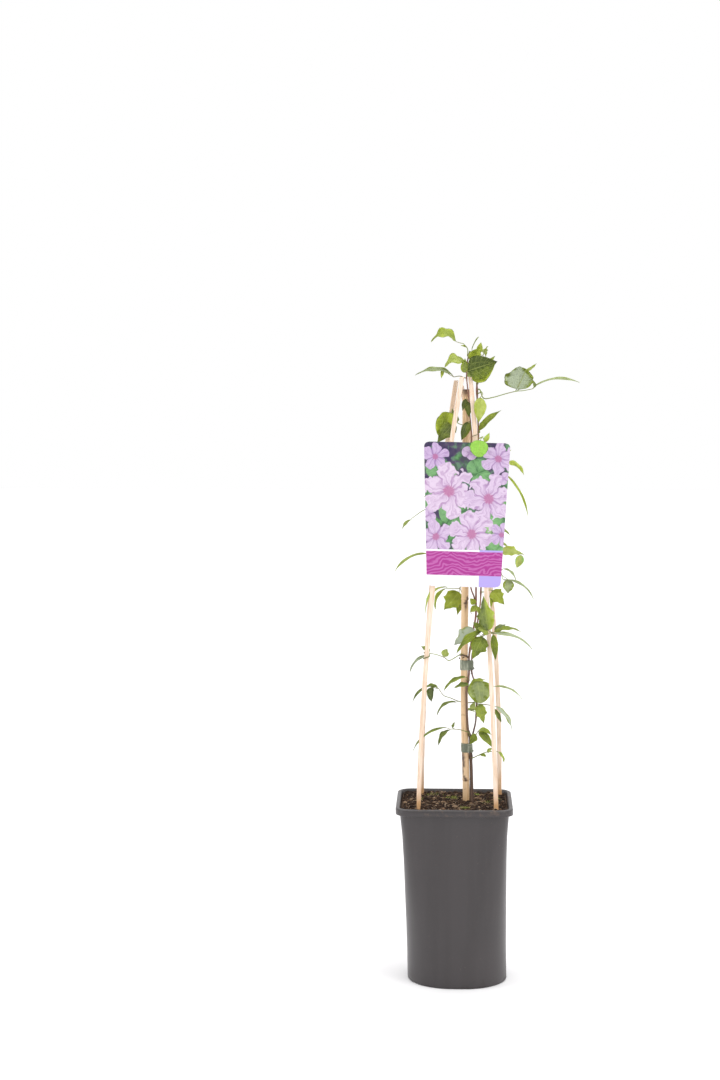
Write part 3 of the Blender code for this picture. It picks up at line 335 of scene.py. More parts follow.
# rings round a path, turned as little as possible from one to the next
def rodRows(path, radii, sides, shape=None):
    rows = []
    along = (path[1] - path[0]).normalized()
    side = along.orthogonal().normalized()
    for k, centre in enumerate(path):
        ahead = (path[min(k + 1, len(path) - 1)] - path[max(k - 1, 0)]).normalized()
        side = (side - ahead * side.dot(ahead)).normalized()
        other = ahead.cross(side)
        row = []
        for j in range(sides):
            angle = 2 * math.pi * j / sides
            radius = radii[k] * (shape(k, angle) if shape else 1.0)
            row.append(centre + (side * math.cos(angle) + other * math.sin(angle)) * radius)
        rows.append(row)
    return rows


# smooth noise between about -1 and 1 whose patches are size metres across
def wobble(point, size, seed=0.0):
    return noise.noise(Vector(point) / size + Vector((seed, seed * 1.7, seed * 0.3)))


# Materials

def potMaterial():
    material, tree, shader, place = newMaterial("potPlastic", 0.36, 0.5)
    haze = useGroup(tree, blotches, Place=place, Scale=12.0, Low=0.42, High=0.68)["Mask"]
    smear = useGroup(tree, blotches, Place=place, Scale=120.0, Low=0.5, High=0.7)["Mask"]
    specks = useGroup(tree, blotches, Place=place, Scale=620.0, Low=0.66, High=0.72)["Mask"]
    drawn = useGroup(tree, fibres, Place=place, Across=160.0, Along=9.0)["Streaks"]
    splash = useGroup(tree, lowMark, Place=place, Top=0.012, Softness=0.016, Ragged=0.06)["Mask"]
    parts = addNode(tree, "SeparateXYZ", {0: place})
    # splashes gather at the right of the base
    splash = calc(tree, "MULTIPLY", splash, fade(tree, parts.outputs["X"], -0.03, 0.035, 0.15, 1.0))
    rimDust = calc(tree, "MULTIPLY", fade(tree, parts.outputs["Z"], 0.202, 0.2105), smear)
    plastic = mixColour(tree, calc(tree, "MULTIPLY", haze, 0.5), (0.034, 0.029, 0.030), (0.044, 0.037, 0.038))
    plastic = mixColour(tree, calc(tree, "MULTIPLY", drawn, 0.14), plastic, (0.070, 0.061, 0.064))
    dusty = mixColour(tree, calc(tree, "MULTIPLY", rimDust, 0.55), plastic, (0.125, 0.085, 0.062))
    dusty = mixColour(tree, calc(tree, "MULTIPLY", specks, 0.5), dusty, (0.15, 0.115, 0.09))
    muddy = mixColour(tree, calc(tree, "MULTIPLY", splash, smear), dusty, (0.018, 0.013, 0.011))
    tree.links.new(muddy, shader.inputs["Base Color"])
    rough = calc(tree, "ADD", 0.34, calc(tree, "MULTIPLY", calc(tree, "MAXIMUM", calc(tree, "MULTIPLY", haze, 0.4), rimDust), 0.2))
    tree.links.new(calc(tree, "ADD", rough, calc(tree, "MULTIPLY", splash, 0.2)), shader.inputs["Roughness"])
    grain = calc(tree, "ADD", useGroup(tree, fineGrain, Place=place, Scale=1400.0)["Height"], calc(tree, "MULTIPLY", drawn, 0.8))
    setBump(tree, shader, grain, 0.14, 0.0004)
    return material


def soilMaterial():
    material, tree, shader, place = newMaterial("pottingSoil", 0.95, 0.2)
    patches = useGroup(tree, blotches, Place=place, Scale=110.0, Low=0.42, High=0.6)["Mask"]
    tone = addNode(tree, "Attribute", attribute_name="tone").outputs["Fac"]
    green = addNode(tree, "Attribute", attribute_name="grey").outputs["Fac"]
    earth = mixColour(tree, patches, (0.010, 0.006, 0.004), (0.050, 0.030, 0.018))
    crumbs = ramp(tree, tone, ((0.0, (0.012, 0.007, 0.005)), (0.4, (0.050, 0.027, 0.016)), (0.75, (0.17, 0.10, 0.056)),
                               (1.0, (0.52, 0.39, 0.27))))
    both = mixColour(tree, fade(tree, tone, 0.0, 0.05), earth, crumbs)
    mossy = mixColour(tree, calc(tree, "MULTIPLY", green, calc(tree, "ADD", 0.2, patches)), both, (0.13, 0.15, 0.03))
    tree.links.new(mossy, shader.inputs["Base Color"])
    cloud = addNode(tree, "TexNoise", {"Vector": place, "Scale": 1100.0, "Detail": 6.0, "Roughness": 0.75}).outputs["Fac"]
    setBump(tree, shader, cloud, 0.7, 0.0012)
    return material


def mossMaterial():
    material, tree, shader, place = newMaterial("moss", 0.8, 0.25)
    tone = addNode(tree, "Attribute", attribute_name="tone").outputs["Fac"]
    patches = useGroup(tree, blotches, Place=place, Scale=160.0, Low=0.4, High=0.62)["Mask"]
    green = mixColour(tree, tone, (0.10, 0.14, 0.02), (0.42, 0.48, 0.10))
    tree.links.new(mixColour(tree, calc(tree, "MULTIPLY", patches, 0.4), green, (0.22, 0.17, 0.05)), shader.inputs["Base Color"])
    return material


def stickMaterial():
    material, tree, shader, place = newMaterial("splitWood", 0.62, 0.35)
    grain = useGroup(tree, fibres, Place=place, Across=1500.0, Along=22.0)
    damp = useGroup(tree, lowMark, Place=place, Top=0.242, Softness=0.028, Ragged=0.03)["Mask"]
    stain = useGroup(tree, blotches, Place=place, Scale=26.0, Low=0.5, High=0.7)["Mask"]
    wood = mixColour(tree, grain["Streaks"], (0.84, 0.68, 0.56), (0.70, 0.52, 0.38))
    warm = mixColour(tree, calc(tree, "MULTIPLY", stain, 0.35), wood, (0.66, 0.41, 0.24))
    wet = mixColour(tree, calc(tree, "MULTIPLY", damp, 0.85), warm, (0.60, 0.32, 0.12))
    tree.links.new(wet, shader.inputs["Base Color"])
    setBump(tree, shader, grain["Height"], 0.35, 0.0005)
    return material


def caneMaterial():
    material, tree, shader, place = newMaterial("bamboo", 0.45, 0.5)
    grain = useGroup(tree, fibres, Place=place, Across=1100.0, Along=14.0)
    marks = useGroup(tree, blotches, Place=place, Scale=75.0, Low=0.6, High=0.7)["Mask"]
    tone = addNode(tree, "Attribute", attribute_name="tone").outputs["Fac"]
    damp = useGroup(tree, lowMark, Place=place, Top=0.232, Softness=0.02, Ragged=0.03)["Mask"]
    skin = mixColour(tree, grain["Streaks"], (0.80, 0.58, 0.36), (0.64, 0.42, 0.23))
    freckled = mixColour(tree, calc(tree, "MULTIPLY", marks, 0.45), skin, (0.34, 0.20, 0.10))
    wet = mixColour(tree, calc(tree, "MULTIPLY", damp, 0.55), freckled, (0.50, 0.30, 0.12))
    # tone darkens the sheath marks, and paints shade over the cut top and into its hollow
    dark = mixColour(tree, tone, wet, (0.075, 0.038, 0.024))
    tree.links.new(dark, shader.inputs["Base Color"])
    setBump(tree, shader, grain["Height"], 0.2, 0.0004)
    return material


def barkMaterial():
    material, tree, shader, place = newMaterial("vineBark", 0.6, 0.35)
    grain = useGroup(tree, fibres, Place=place, Across=2200.0, Along=60.0)
    young = addNode(tree, "Attribute", attribute_name="tone").outputs["Fac"]
    old = mixColour(tree, grain["Streaks"], (0.060, 0.034, 0.024), (0.17, 0.105, 0.070))
    fresh = mixColour(tree, grain["Streaks"], (0.20, 0.085, 0.070), (0.36, 0.22, 0.15))
    tree.links.new(mixColour(tree, young, old, fresh), shader.inputs["Base Color"])
    setBump(tree, shader, grain["Height"], 0.6, 0.0004)
    return material


def tapeMaterial():
    material, tree, shader, place = newMaterial("tyingTape", 0.33, 0.5)
    streaksAndSheen = useGroup(tree, fibres, Place=place, Across=520.0, Along=90.0)
    foldShade = useGroup(tree, blotches, Place=place, Scale=260.0, Low=0.42, High=0.62)["Mask"]
    # the light streaks are the tape's own grain together with painted highlights; the dark patches are painted shade in
    # its folds
    tape = mixColour(tree, streaksAndSheen["Streaks"], (0.13, 0.15, 0.10), (0.42, 0.44, 0.34))
    tree.links.new(mixColour(tree, calc(tree, "MULTIPLY", foldShade, 0.35), tape, (0.10, 0.11, 0.08)), shader.inputs["Base Color"])
    setBump(tree, shader, streaksAndSheen["Height"], 0.5, 0.0006)
    return material


def leafMaterial(name, dark, middle, bright, pale, lime, veinColour, veinShare, roughness):
    material, tree, shader, place = newMaterial(name, roughness, 0.26)
    spot = addNode(tree, "Attribute", attribute_name="leafPlace").outputs["Vector"]
    tone = addNode(tree, "Attribute", attribute_name="tone").outputs["Fac"]
    grey = addNode(tree, "Attribute", attribute_name="grey").outputs["Fac"]
    across = calc(tree, "ABSOLUTE", addNode(tree, "SeparateXYZ", {0: spot}).outputs["X"])
    vein = useGroup(tree, leafVeins, Place=spot)
    cloud = addNode(tree, "TexNoise", {"Vector": place, "Scale": 130.0, "Detail": 4.0}).outputs["Fac"]
    drift = calc(tree, "ADD", tone, calc(tree, "MULTIPLY", calc(tree, "SUBTRACT", cloud, 0.5), 0.75))
    drift = calc(tree, "ADD", drift, fade(tree, across, 0.72, 1.0, -0.04, 0.16))
    green = ramp(tree, drift, ((0.0, dark), (0.35, middle), (0.6, bright), (0.85, pale), (1.0, lime)))
    veined = mixColour(tree, calc(tree, "MULTIPLY", vein["Veins"], veinShare), green, veinColour)
    # a pale grey patch in the middle of a blade, broken by the veins: painted sheen that stands for the gloss of the
    # blade
    bloom = calc(tree, "ADD", calc(tree, "SUBTRACT", 1.25, across), calc(tree, "MULTIPLY", calc(tree, "SUBTRACT", cloud, 0.5), 2.2))
    bloom = calc(tree, "MULTIPLY", grey, fade(tree, bloom, 0.25, 0.75))
    tree.links.new(mixColour(tree, bloom, veined, (0.44, 0.50, 0.38)), shader.inputs["Base Color"])
    rough = calc(tree, "ADD", roughness - 0.1, calc(tree, "MULTIPLY", cloud, 0.22))
    tree.links.new(rough, shader.inputs["Roughness"])
    setBump(tree, shader, vein["Height"], 0.7, 0.0007)
    return material


def stalkMaterial():
    material, tree, shader, place = newMaterial("leafStalk", 0.5, 0.4)
    tone = addNode(tree, "Attribute", attribute_name="tone").outputs["Fac"]
    patches = useGroup(tree, blotches, Place=place, Scale=70.0, Low=0.42, High=0.62)["Mask"]
    green = mixColour(tree, tone, (0.10, 0.13, 0.03), (0.34, 0.42, 0.11))
    tree.links.new(mixColour(tree, calc(tree, "MULTIPLY", patches, 0.45), green, (0.22, 0.13, 0.06)), shader.inputs["Base Color"])
    return material


print("materials: building")
potPlastic = potMaterial()
pottingSoil = soilMaterial()
mossGreen = mossMaterial()
splitWood = stickMaterial()
bamboo = caneMaterial()
vineBark = barkMaterial()
tyingTape = tapeMaterial()
leafStalk = stalkMaterial()
leafUpper = leafMaterial("leafUpper", (0.045, 0.070, 0.006), (0.190, 0.250, 0.012), (0.330, 0.410, 0.022),
                         (0.530, 0.600, 0.120), (0.290, 0.600, 0.080), (0.48, 0.54, 0.15), 0.34, 0.44)
leafUnder = leafMaterial("leafUnder", (0.095, 0.130, 0.025), (0.220, 0.280, 0.050), (0.370, 0.440, 0.080),
                         (0.540, 0.610, 0.200), (0.340, 0.610, 0.140), (0.50, 0.56, 0.26), 0.45, 0.54)


# Pot: round at the base and square at the rim, so its corners run out into broad bright bands

pot = {
    "height": 215 * mm, "wall": 1.2 * mm, "floor": 2.5 * mm, "lean": -4 * mm, "lipHalf": 69 * mm,
    # height, half width, share of the half width that the corner's radius takes
    "body": ((0, 58.3, 0.90), (1.5, 59.3, 0.90), (35, 59.2, 0.83), (75, 59.7, 0.72), (110, 60.2, 0.55),
             (150, 60.8, 0.38), (180, 61.8, 0.27), (205.5, 63.9, 0.20)),
    # below the rim, set in from the lip's outer face
    "lip": ((8.3, 4.6), (8.3, 2.0), (8.2, 0.9), (7.9, 0.25), (7.4, 0.0), (4.6, 0.12), (2.0, 0.0), (1.4, 0.12), (0.8, 0.6),
            (0.4, 1.3), (0.1, 2.0), (0.0, 2.7), (0.05, 3.6), (0.3, 4.2), (1.5, 4.9)),
    "cornerPoints": 14, "levels": 5, "drains": 8, "drainRing": 42 * mm, "drainRadius": 4.5 * mm,
}


def potSize(z):
    for (z0, half0, share0), (z1, half1, share1) in zip(pot["body"], pot["body"][1:]):
        if z <= z1 * mm:
            t = (z / mm - z0) / (z1 - z0)
            half = blend(half0, half1, t) * mm
            return half, half * blend(share0, share1, t)
    half = pot["body"][-1][1] * mm
    return half, half * pot["body"][-1][2]


def squareRing(half, corner, z, flatPoints=3):
    # a square with round corners, anticlockwise, with points along its flats too
    shift = pot["lean"] * z / pot["height"]
    points = []
    for quarter in range(4):
        turn = quarter * math.pi / 2
        outline = []
        for k in range(pot["cornerPoints"]):
            angle = k / (pot["cornerPoints"] - 1) * math.pi / 2
            outline.append((half - corner + corner * math.cos(angle), half - corner + corner * math.sin(angle)))
        for k in range(1, flatPoints + 1):
            outline.append((blend(half - corner, corner - half, k / (flatPoints + 1)), half))
        for x, y in outline:
            points.append(Vector((x * math.cos(turn) - y * math.sin(turn) + shift,
                                  x * math.sin(turn) + y * math.cos(turn), z)))
    return points


def potRing(z, inset=0.0):
    half, corner = potSize(z)
    return squareRing(half - inset, corner - inset, z)


def lipRing(z, inset):
    half, corner = potSize(z)
    return squareRing(pot["lipHalf"] - inset, pot["lipHalf"] - half + corner - inset, z)


def makePot():
    skin = Skin()
    levels = [0, 0.5, 1.5]
    for (low, *_), (high, *_) in zip(pot["body"][1:], pot["body"][2:]):
        levels += [blend(low, high, k / pot["levels"]) for k in range(1, pot["levels"] + 1)]
    rows = [potRing(0, 1.2 * mm)]
    rows += [potRing(z * mm, 0.3 * mm if z == 0 else 0.0) for z in levels]
    rows += [lipRing(pot["height"] - below * mm, inset * mm) for below, inset in pot["lip"]]
    rows += [potRing(z * mm, pot["wall"]) for z in reversed(levels) if z > 20]
    rows += [potRing(4 * mm, pot["wall"]), potRing(pot["floor"], pot["wall"] + 1.5 * mm)]
    skin.add(rows, ring=True, ends=True)
    body = skin.make("potBody", [potPlastic], ["pot"])
    for k in range(pot["drains"]):
        angle = (k + 0.5) * 2 * math.pi / pot["drains"]
        x, y = pot["drainRing"] * math.cos(angle), pot["drainRing"] * math.sin(angle)
        bpy.ops.mesh.primitive_cylinder_add(vertices=24, radius=pot["drainRadius"], depth=0.02, location=(x, y, 0))
        drill = bpy.context.object
        cut = body.modifiers.new("drain", "BOOLEAN")
        cut.operation = "DIFFERENCE"
        cut.object = drill
        applyModifiers(body)
        bpy.data.objects.remove(drill, do_unlink=True)
    body.data.shade_smooth()
    body.data.set_sharp_from_angle(angle=math.radians(40))


def applyModifiers(thing):
    graph = bpy.context.evaluated_depsgraph_get()
    done = bpy.data.meshes.new_from_object(thing.evaluated_get(graph))
    thing.modifiers.clear()
    thing.data = done


makePot()
print("pot")


# Soil: a fibrous surface just under the rim, with crumbs, root hairs and moss

soil = {
    "edge": 211 * mm, "rise": 1.8 * mm, "inset": 6.1 * mm, "rings": 44, "seed": 7,
    "crumbs": 2900, "fibres": 260, "tufts": 520,
    # x, y and radius of each patch of moss
    "moss": ((-29, 41, 13), (-7, 20, 10), (23, 43, 11), (39, -4, 13), (44, 24, 9), (-47, 12, 8), (8, -38, 8)),
}


def mossAt(x, y):
    best = 0.0
    for patchX, patchY, radius in soil["moss"]:
        reach = math.hypot(x / mm - patchX, y / mm - patchY) / radius
        best = max(best, 1.0 - reach + 0.35 * wobble((x, y, 0), 5 * mm, 3.0))
    return max(0.0, min(1.0, best * 1.6))


def soilLevel(x, y):
    half = 63 * mm
    share = min(1.0, max(abs(x + 4 * mm), abs(y)) / half)
    rough = 1.1 * wobble((x, y, 0), 16 * mm) + 0.7 * wobble((x, y, 0), 5 * mm, 2.0) + 0.35 * wobble((x, y, 0), 1.8 * mm, 5.0)
    return soil["edge"] + soil["rise"] * (1 - share ** 2) + rough * mm * (1 - 0.6 * share ** 6)


def makeSoil():
    draw = random.Random(soil["seed"])
    skin = Skin()
    rows = [potRing(z * mm, pot["wall"] + 0.3 * mm) for z in (2.8, 35, 75, 110, 150, 180, 205)]
    edge = lipRing(soil["edge"], soil["inset"])
    centre = Vector((pot["lean"] * soil["edge"] / pot["height"], 0, soil["edge"]))
    skin.add(rows + [edge], ring=True, ends=True)
    top = []
    for r in range(soil["rings"]):
        share = 1 - (r / soil["rings"]) ** 0.9
        ring = []
        for point in edge:
            spot = centre + (point - centre) * share
            ring.append(Vector((spot.x, spot.y, soilLevel(spot.x, spot.y) if r else soil["edge"] - 0.5 * mm)))
        top.append(ring)
    first = len(skin.points)
    skin.add(top, ring=True)
    skin.addShape([sum(top[-1], Vector()) / len(edge)], [])
    skin.faces += [(first + (len(top) - 1) * len(edge) + k, first + (len(top) - 1) * len(edge) + (k + 1) % len(edge),
                    len(skin.points) - 1) for k in range(len(edge))]
    skin.marks += [0] * len(edge)
    for i in range(first, len(skin.points)):
        point = skin.points[i]
        skin.tones[i] = (0.0, mossAt(point.x, point.y) * 0.8)
    for k in range(soil["crumbs"]):
        x, y = (draw.uniform(-60, 60) - 4) * mm, draw.uniform(-61.5, 61.5) * mm
        size = 0.5 + 2.3 * draw.random() ** 3
        tone = draw.random()
        tone = 0.06 + tone * 0.4 if tone < 0.86 else tone * 0.85
        addCrumb(skin, draw, Vector((x, y, soilLevel(x, y) + 0.12 * size * mm)), size * mm, tone)
    for k in range(26):
        x = draw.uniform(-48, 36) if k % 3 else draw.uniform(-20, 12)
        addCrumb(skin, draw, Vector((x * mm, draw.uniform(-66.2, -64.8) * mm, pot["height"] + 0.25 * mm)),
                 draw.uniform(0.35, 0.9) * mm, draw.uniform(0.1, 0.7))
    for k in range(soil["fibres"]):
        x, y = (draw.uniform(-54, 54) - 4) * mm, draw.uniform(-55, 55) * mm
        turn, length, lift = draw.uniform(0, 6.283), draw.uniform(4, 15) * mm, draw.uniform(0.3, 2.4) * mm
        bend = draw.uniform(-1.2, 1.2)
        path = []
        for j in range(7):
            t = j / 6
            way = turn + bend * t
            px, py = x + math.cos(way) * length * (t - 0.5), y + math.sin(way) * length * (t - 0.5)
            px, py = max(-66 * mm, min(58 * mm, px)), max(-62 * mm, min(62 * mm, py))
            path.append(Vector((px, py, soilLevel(px, py) + lift * math.sin(math.pi * t) + 0.1 * mm)))
        thick = draw.uniform(0.16, 0.38) * mm
        skin.add(rodRows(path, [thick * (1 - 0.6 * abs(j / 3 - 1)) for j in range(7)], 5), ring=True, ends=True,
                 tone=(draw.uniform(0.45, 1.0), 0.0))
    skin.make("soilBed", [pottingSoil], ["soil"])


# eight corners of a lump, pushed about
def addCrumb(skin, draw, centre, size, tone):
    golden = (1 + 5 ** 0.5) / 2
    corners = [(-1, golden, 0), (1, golden, 0), (-1, -golden, 0), (1, -golden, 0), (0, -1, golden), (0, 1, golden),
               (0, -1, -golden), (0, 1, -golden), (golden, 0, -1), (golden, 0, 1), (-golden, 0, -1), (-golden, 0, 1)]
    faces = [(0, 11, 5), (0, 5, 1), (0, 1, 7), (0, 7, 10), (0, 10, 11), (1, 5, 9), (5, 11, 4), (11, 10, 2), (10, 7, 6),
             (7, 1, 8), (3, 9, 4), (3, 4, 2), (3, 2, 6), (3, 6, 8), (3, 8, 9), (4, 9, 5), (2, 4, 11), (6, 2, 10),
             (8, 6, 7), (9, 8, 1)]
    stretch = Vector((draw.uniform(0.6, 1.3), draw.uniform(0.6, 1.3), draw.uniform(0.5, 1.0)))
    points = [centre + Vector(corner) * stretch * (size / 1.9) * draw.uniform(0.75, 1.2) for corner in corners]
    skin.addShape(points, faces, tone=(tone, 0.0))


def makeMoss():
    draw = random.Random(21)
    skin = Skin()
    made = 0
    while made < soil["tufts"]:
        patchX, patchY, radius = draw.choice(soil["moss"])
        x, y = (patchX + draw.gauss(0, radius * 0.5)) * mm, (patchY + draw.gauss(0, radius * 0.5)) * mm
        if abs(x + 4 * mm) > 60 * mm or abs(y) > 60 * mm or mossAt(x, y) < 0.2:
            continue
        made += 1
        root = Vector((x, y, soilLevel(x, y) - 0.2 * mm))
        for k in range(5):
            turn, tilt = draw.uniform(0, 6.283), draw.uniform(0.2, 0.9)
            tip = root + Vector((math.cos(turn) * tilt, math.sin(turn) * tilt, 1.0)) * draw.uniform(0.9, 2.0) * mm
            side = Vector((-math.sin(turn), math.cos(turn), 0)) * 0.28 * mm
            depth = Vector((math.cos(turn), math.sin(turn), 0)) * 0.2 * mm
            skin.addShape([root - side, root + side, root + depth, tip], [(0, 1, 3), (1, 2, 3), (2, 0, 3), (0, 2, 1)],
                          tone=(draw.random(), 0.0))
    skin.make("soilMoss", [mossGreen])


makeSoil()
makeMoss()
print("soil")


# Split sticks: rough sides, a slight bow, cut ends

sticks = {
    "width": 5.3 * mm, "depth": 3.5 * mm, "soilZ": 213 * mm, "steps": 64, "pointLength": 9 * mm, "pointWidth": 0.3,
    # x, y where each leaves the soil, x, y at its top, bow along X, top and foot heights
    "routes": {
        "stick_front_left": ((-46.0, -46.0), (3.6, -12.0), -9.3, 719.0, 198.0),
        "stick_front_right": ((45.2, -46.0), (13.3, -12.0), 3.7, 719.0, 160.0),
        "stick_back_left": ((-43.5, 40.0), (-3.2, 10.0), -9.2, 715.0, 160.0),
        "stick_back_right": ((50.9, 44.0), (3.0, 12.0), 12.5, 709.0, 186.0),
    },
    "pointed": "stick_front_left",
}


def stickAxis(name, z):
    (footX, footY), (topX, topY), bow, topZ, footZ = sticks["routes"][name]
    share = (z - sticks["soilZ"]) / (topZ * mm - sticks["soilZ"])
    curve = 4 * share * (1 - share) if share > 0 else 4 * share
    return Vector(((blend(footX, topX, share) + bow * curve) * mm, blend(footY, topY, share) * mm, z))


def makeStick(name, seed):
    topZ, footZ = sticks["routes"][name][3] * mm, sticks["routes"][name][4] * mm
    fullZ = sticks["soilZ"] + sticks["pointLength"]
    heights = [footZ, footZ + 0.4 * mm]
    heights += [blend(footZ + 2 * mm, topZ - 0.5 * mm, k / sticks["steps"]) for k in range(sticks["steps"] + 1)] + [topZ]
    rows = []
    for k, z in enumerate(heights):
        centre = stickAxis(name, z)
        shrink = 0.86 if k in (0, len(heights) - 1) else 1.0
        width, depth = sticks["width"] * shrink, sticks["depth"] * shrink
        if name == sticks["pointed"]:
            width *= max(0.3, min(1.0, blend(sticks["pointWidth"], 1.0, (z - footZ) / (fullZ - footZ))))
        row = []
        for px, py in ((1, -0.55), (1, 0), (1, 0.55), (0.86, 0.94), (0.3, 1), (-0.3, 1), (-0.86, 0.94), (-1, 0.55), (-1, 0),
                       (-1, -0.55), (-0.86, -0.94), (-0.3, -1), (0.3, -1), (0.86, -0.94)):
            rough = 0.16 * wobble((px * 3, py * 3, z / mm / 28), 1.0, seed) + 0.06 * wobble((px * 9, py * 9, z / mm / 9), 1.0, seed)
            row.append(centre + Vector((px * (width / 2 + rough * mm * 1.6), py * (depth / 2 + rough * mm * 1.4), 0)))
        rows.append(row)
    skin = Skin()
    skin.add(rows, ring=True, ends=True)
    piece = skin.make("stick" + name[6:].title().replace("_", ""), [splitWood], [name])
    piece.data.set_sharp_from_angle(angle=math.radians(38))


for seed, stickName in enumerate(sticks["routes"]):
    makeStick(stickName, 3.1 + seed * 7.7)
print("sticks")


# Bamboo cane with swollen joints, a groove under each, dark marks where dead sheath clung, and painted shade over its
# hollow cut top

cane = {
    "radius": 4.3 * mm, "sides": 24, "steps": 150,
    "route": ((13.0, 0, 30), (10.6, 0, 211), (8.2, 0, 305), (7.3, 0, 380), (7.9, 0, 450), (8.3, 0, 600), (8.7, 0, 704)),
    "knots": (238, 455, 640),
    # height, angle round the cane, height of the mark, width in degrees
    # all marks but the last are dead sheath; the last, all round the cut top, is painted shade
    "marks": ((239.5, -100, 2.8, 34), (243, -122, 1.6, 22), (266, -142, 7, 44), (258, -124, 5, 26), (249, -150, 6, 20),
              (452, -66, 4.5, 26), (456.5, -45, 3, 24), (446.5, -78, 3, 18), (451, -88, 1.5, 20), (704, -90, 7, 400)),
}
canePath = smoothPath([Vector(p) * mm for p in cane["route"]], 6)


def caneMarksAndShade(z, angle):
    # how dark a spot on the cane is: the sheath marks, and painted shade over the cut top
    dark = 0.0
    for markZ, markAngle, tall, wide in cane["marks"]:
        turn = (math.degrees(angle) - markAngle + 180) % 360 - 180
        reach = math.hypot((z / mm - markZ) / tall, turn / wide) + 0.45 * wobble((z, angle * 0.004, markZ), 2.5 * mm)
        dark = max(dark, 1.35 - reach)
    return max(0.0, min(0.95, dark))


def makeCane():
    low, high = cane["route"][0][2] * mm, cane["route"][-1][2] * mm
    heights = sorted([blend(low, high, k / cane["steps"]) for k in range(cane["steps"] + 1)]
                     + [(knot + step) * mm for knot in cane["knots"] for step in (-4, -2.6, -1.6, -0.8, -0.2, 0.5, 1.2, 2.2, 4)]
                     + [(z + step) * mm for z, _, tall, _ in cane["marks"][:-1] for step in (-tall, -tall / 2, 0, tall / 2, tall)])
    rows, tones = [], []
    for z in heights:
        place = atHeight(canePath, z)
        radius = cane["radius"] * (1 + 0.012 * wobble((0, 0, z), 30 * mm))
        for knot in cane["knots"]:
            gap = z / mm - knot
            radius += (0.55 * math.exp(-((gap - 0.9) / 0.9) ** 2) - 0.28 * math.exp(-((gap + 0.9) / 0.7) ** 2)) * mm
        row = []
        for k in range(cane["sides"]):
            angle = 2 * math.pi * k / cane["sides"]
            groove = 1 - 0.025 * math.exp(-(((math.degrees(angle) + 70) % 360 - 180) / 22) ** 2)
            row.append(place + Vector((math.cos(angle), math.sin(angle), 0)) * radius * groove)
            tones.append((caneMarksAndShade(z, angle), 0.0))
        rows.append(row)
    # the cut top, hollow: its rim and inside are darkened as painted shade
    top = atHeight(canePath, heights[-1])
    for share, drop in ((0.93, -0.5), (0.6, -0.3), (0.5, 0.6), (0.46, 9.0), (0.1, 9.5)):
        rows.append([top + (point - top) * share - Vector((0, 0, drop * mm)) for point in rows[len(heights) - 1]])
        tones += [(0.75 if drop < 0.5 else 0.95, 0.0)] * cane["sides"]
    skin = Skin()
    skin.add(rows, ring=True, ends=True)
    skin.tones[:len(tones)] = tones
    skin.make("bambooCane", [bamboo], ["cane"])


makeCane()
print("cane")


# Vine stems

stems = {
    "gap": 0.45, "twineStep": 18, "sides": 12,
    # beside the cane: height, angle round it, radius. Free: x, y, z, radius. Millimetres
    "routes": {
        "leader": {
            "twine": [(190, -22, 2.3), (213, -20, 2.2), (245, -14, 2.0), (267, -12, 1.8), (288, -12, 1.6),
                      (302, -52, 1.3), (327, -63, 1.2), (347, -63, 1.2), (360, -35, 1.2), (368, -13, 1.2),
                      (387, -13, 1.2)],
            "free": [(15, -3.5, 400, 1.2), (18, -5, 420, 1.2), (21, -6, 438, 1.2), (21, -6, 469, 1.1),
                     (22, -6, 503, 1.1), (21, -5, 550, 1.1), (19, -5, 598, 1.1), (21, -6, 633, 1.0),
                     (23, -7, 652, 1.0), (22, -6, 680, 1.0), (21.5, -5, 695, 1.0), (21, -5, 713, 0.9)],
        },
        "second": {
            "twine": [],
            "free": [(15.6, -1.4, 286, 1.0), (19, -0.6, 298, 1.0), (21.5, 0, 311, 0.9), (22.5, -0.5, 334, 0.9),
                     (21.5, -0.6, 352, 0.9), (16.6, -0.4, 367, 0.9), (16.6, -0.4, 388, 0.9), (20, 2, 403, 0.9),
                     (22, 5, 420, 0.9), (26, 4, 448, 0.9), (27, 3, 469, 0.9), (29, 0, 502, 0.8),
                     (31, 2, 538, 0.8), (33, 3, 573, 0.8), (35, 0, 609, 0.7), (36, -2, 627, 0.7)],
        },
        "third": {
            "twine": [],
            "free": [(21, -6, 440, 0.9), (19.5, -4.5, 456, 0.9), (15, -2, 469, 0.9), (14, 5, 484, 0.9),
                     (12, 7, 514, 0.9), (10, 7, 549, 0.8), (9, 7, 585, 0.8), (12, 6, 621, 0.8),
                     (15, 1, 645, 0.8), (14, -5, 662, 0.8), (12.5, -6.2, 678, 0.8), (12, -6, 692, 0.8),
                     (10, -4, 708, 0.8), (9, -2, 720, 0.8), (10, -1, 737, 0.8), (12, -1, 747, 0.8)],
        },
        "stub": {
            "twine": [(386, -32, 1.1), (388, -62, 1.1), (389, -95, 1.0), (389.5, -118, 0.9)],
            "free": [],
        },
    },
}


def stemLine(name):
    route = stems["routes"][name]
    path, radii = [], []
    for (z0, turn0, r0), (z1, turn1, r1) in zip(route["twine"], route["twine"][1:]):
        steps = max(1, math.ceil(abs(turn1 - turn0) / stems["twineStep"]))
        for k in range(steps):
            t = k / steps
            path.append(besideCane(blend(z0, z1, t), blend(turn0, turn1, t), blend(r0, r1, t)))
            radii.append(blend(r0, r1, t) * mm)
    if route["twine"]:
        path.append(besideCane(*route["twine"][-1]))
        radii.append(route["twine"][-1][2] * mm)
    for x, y, z, radius in route["free"]:
        path.append(Vector((x, y, z)) * mm)
        radii.append(radius * mm)
    return path, radii


def besideCane(z, turn, radius):
    angle = math.radians(turn)
    reach = cane["radius"] + (stems["gap"] + radius) * mm
    return atHeight(canePath, z * mm) + Vector((math.cos(angle), math.sin(angle), 0)) * reach


def radiusAt(path, radii, z):
    for k in range(len(path) - 1):
        if path[k + 1].z >= z:
            return blend(radii[k], radii[k + 1], max(0.0, (z - path[k].z) / (path[k + 1].z - path[k].z)))
    return radii[-1]


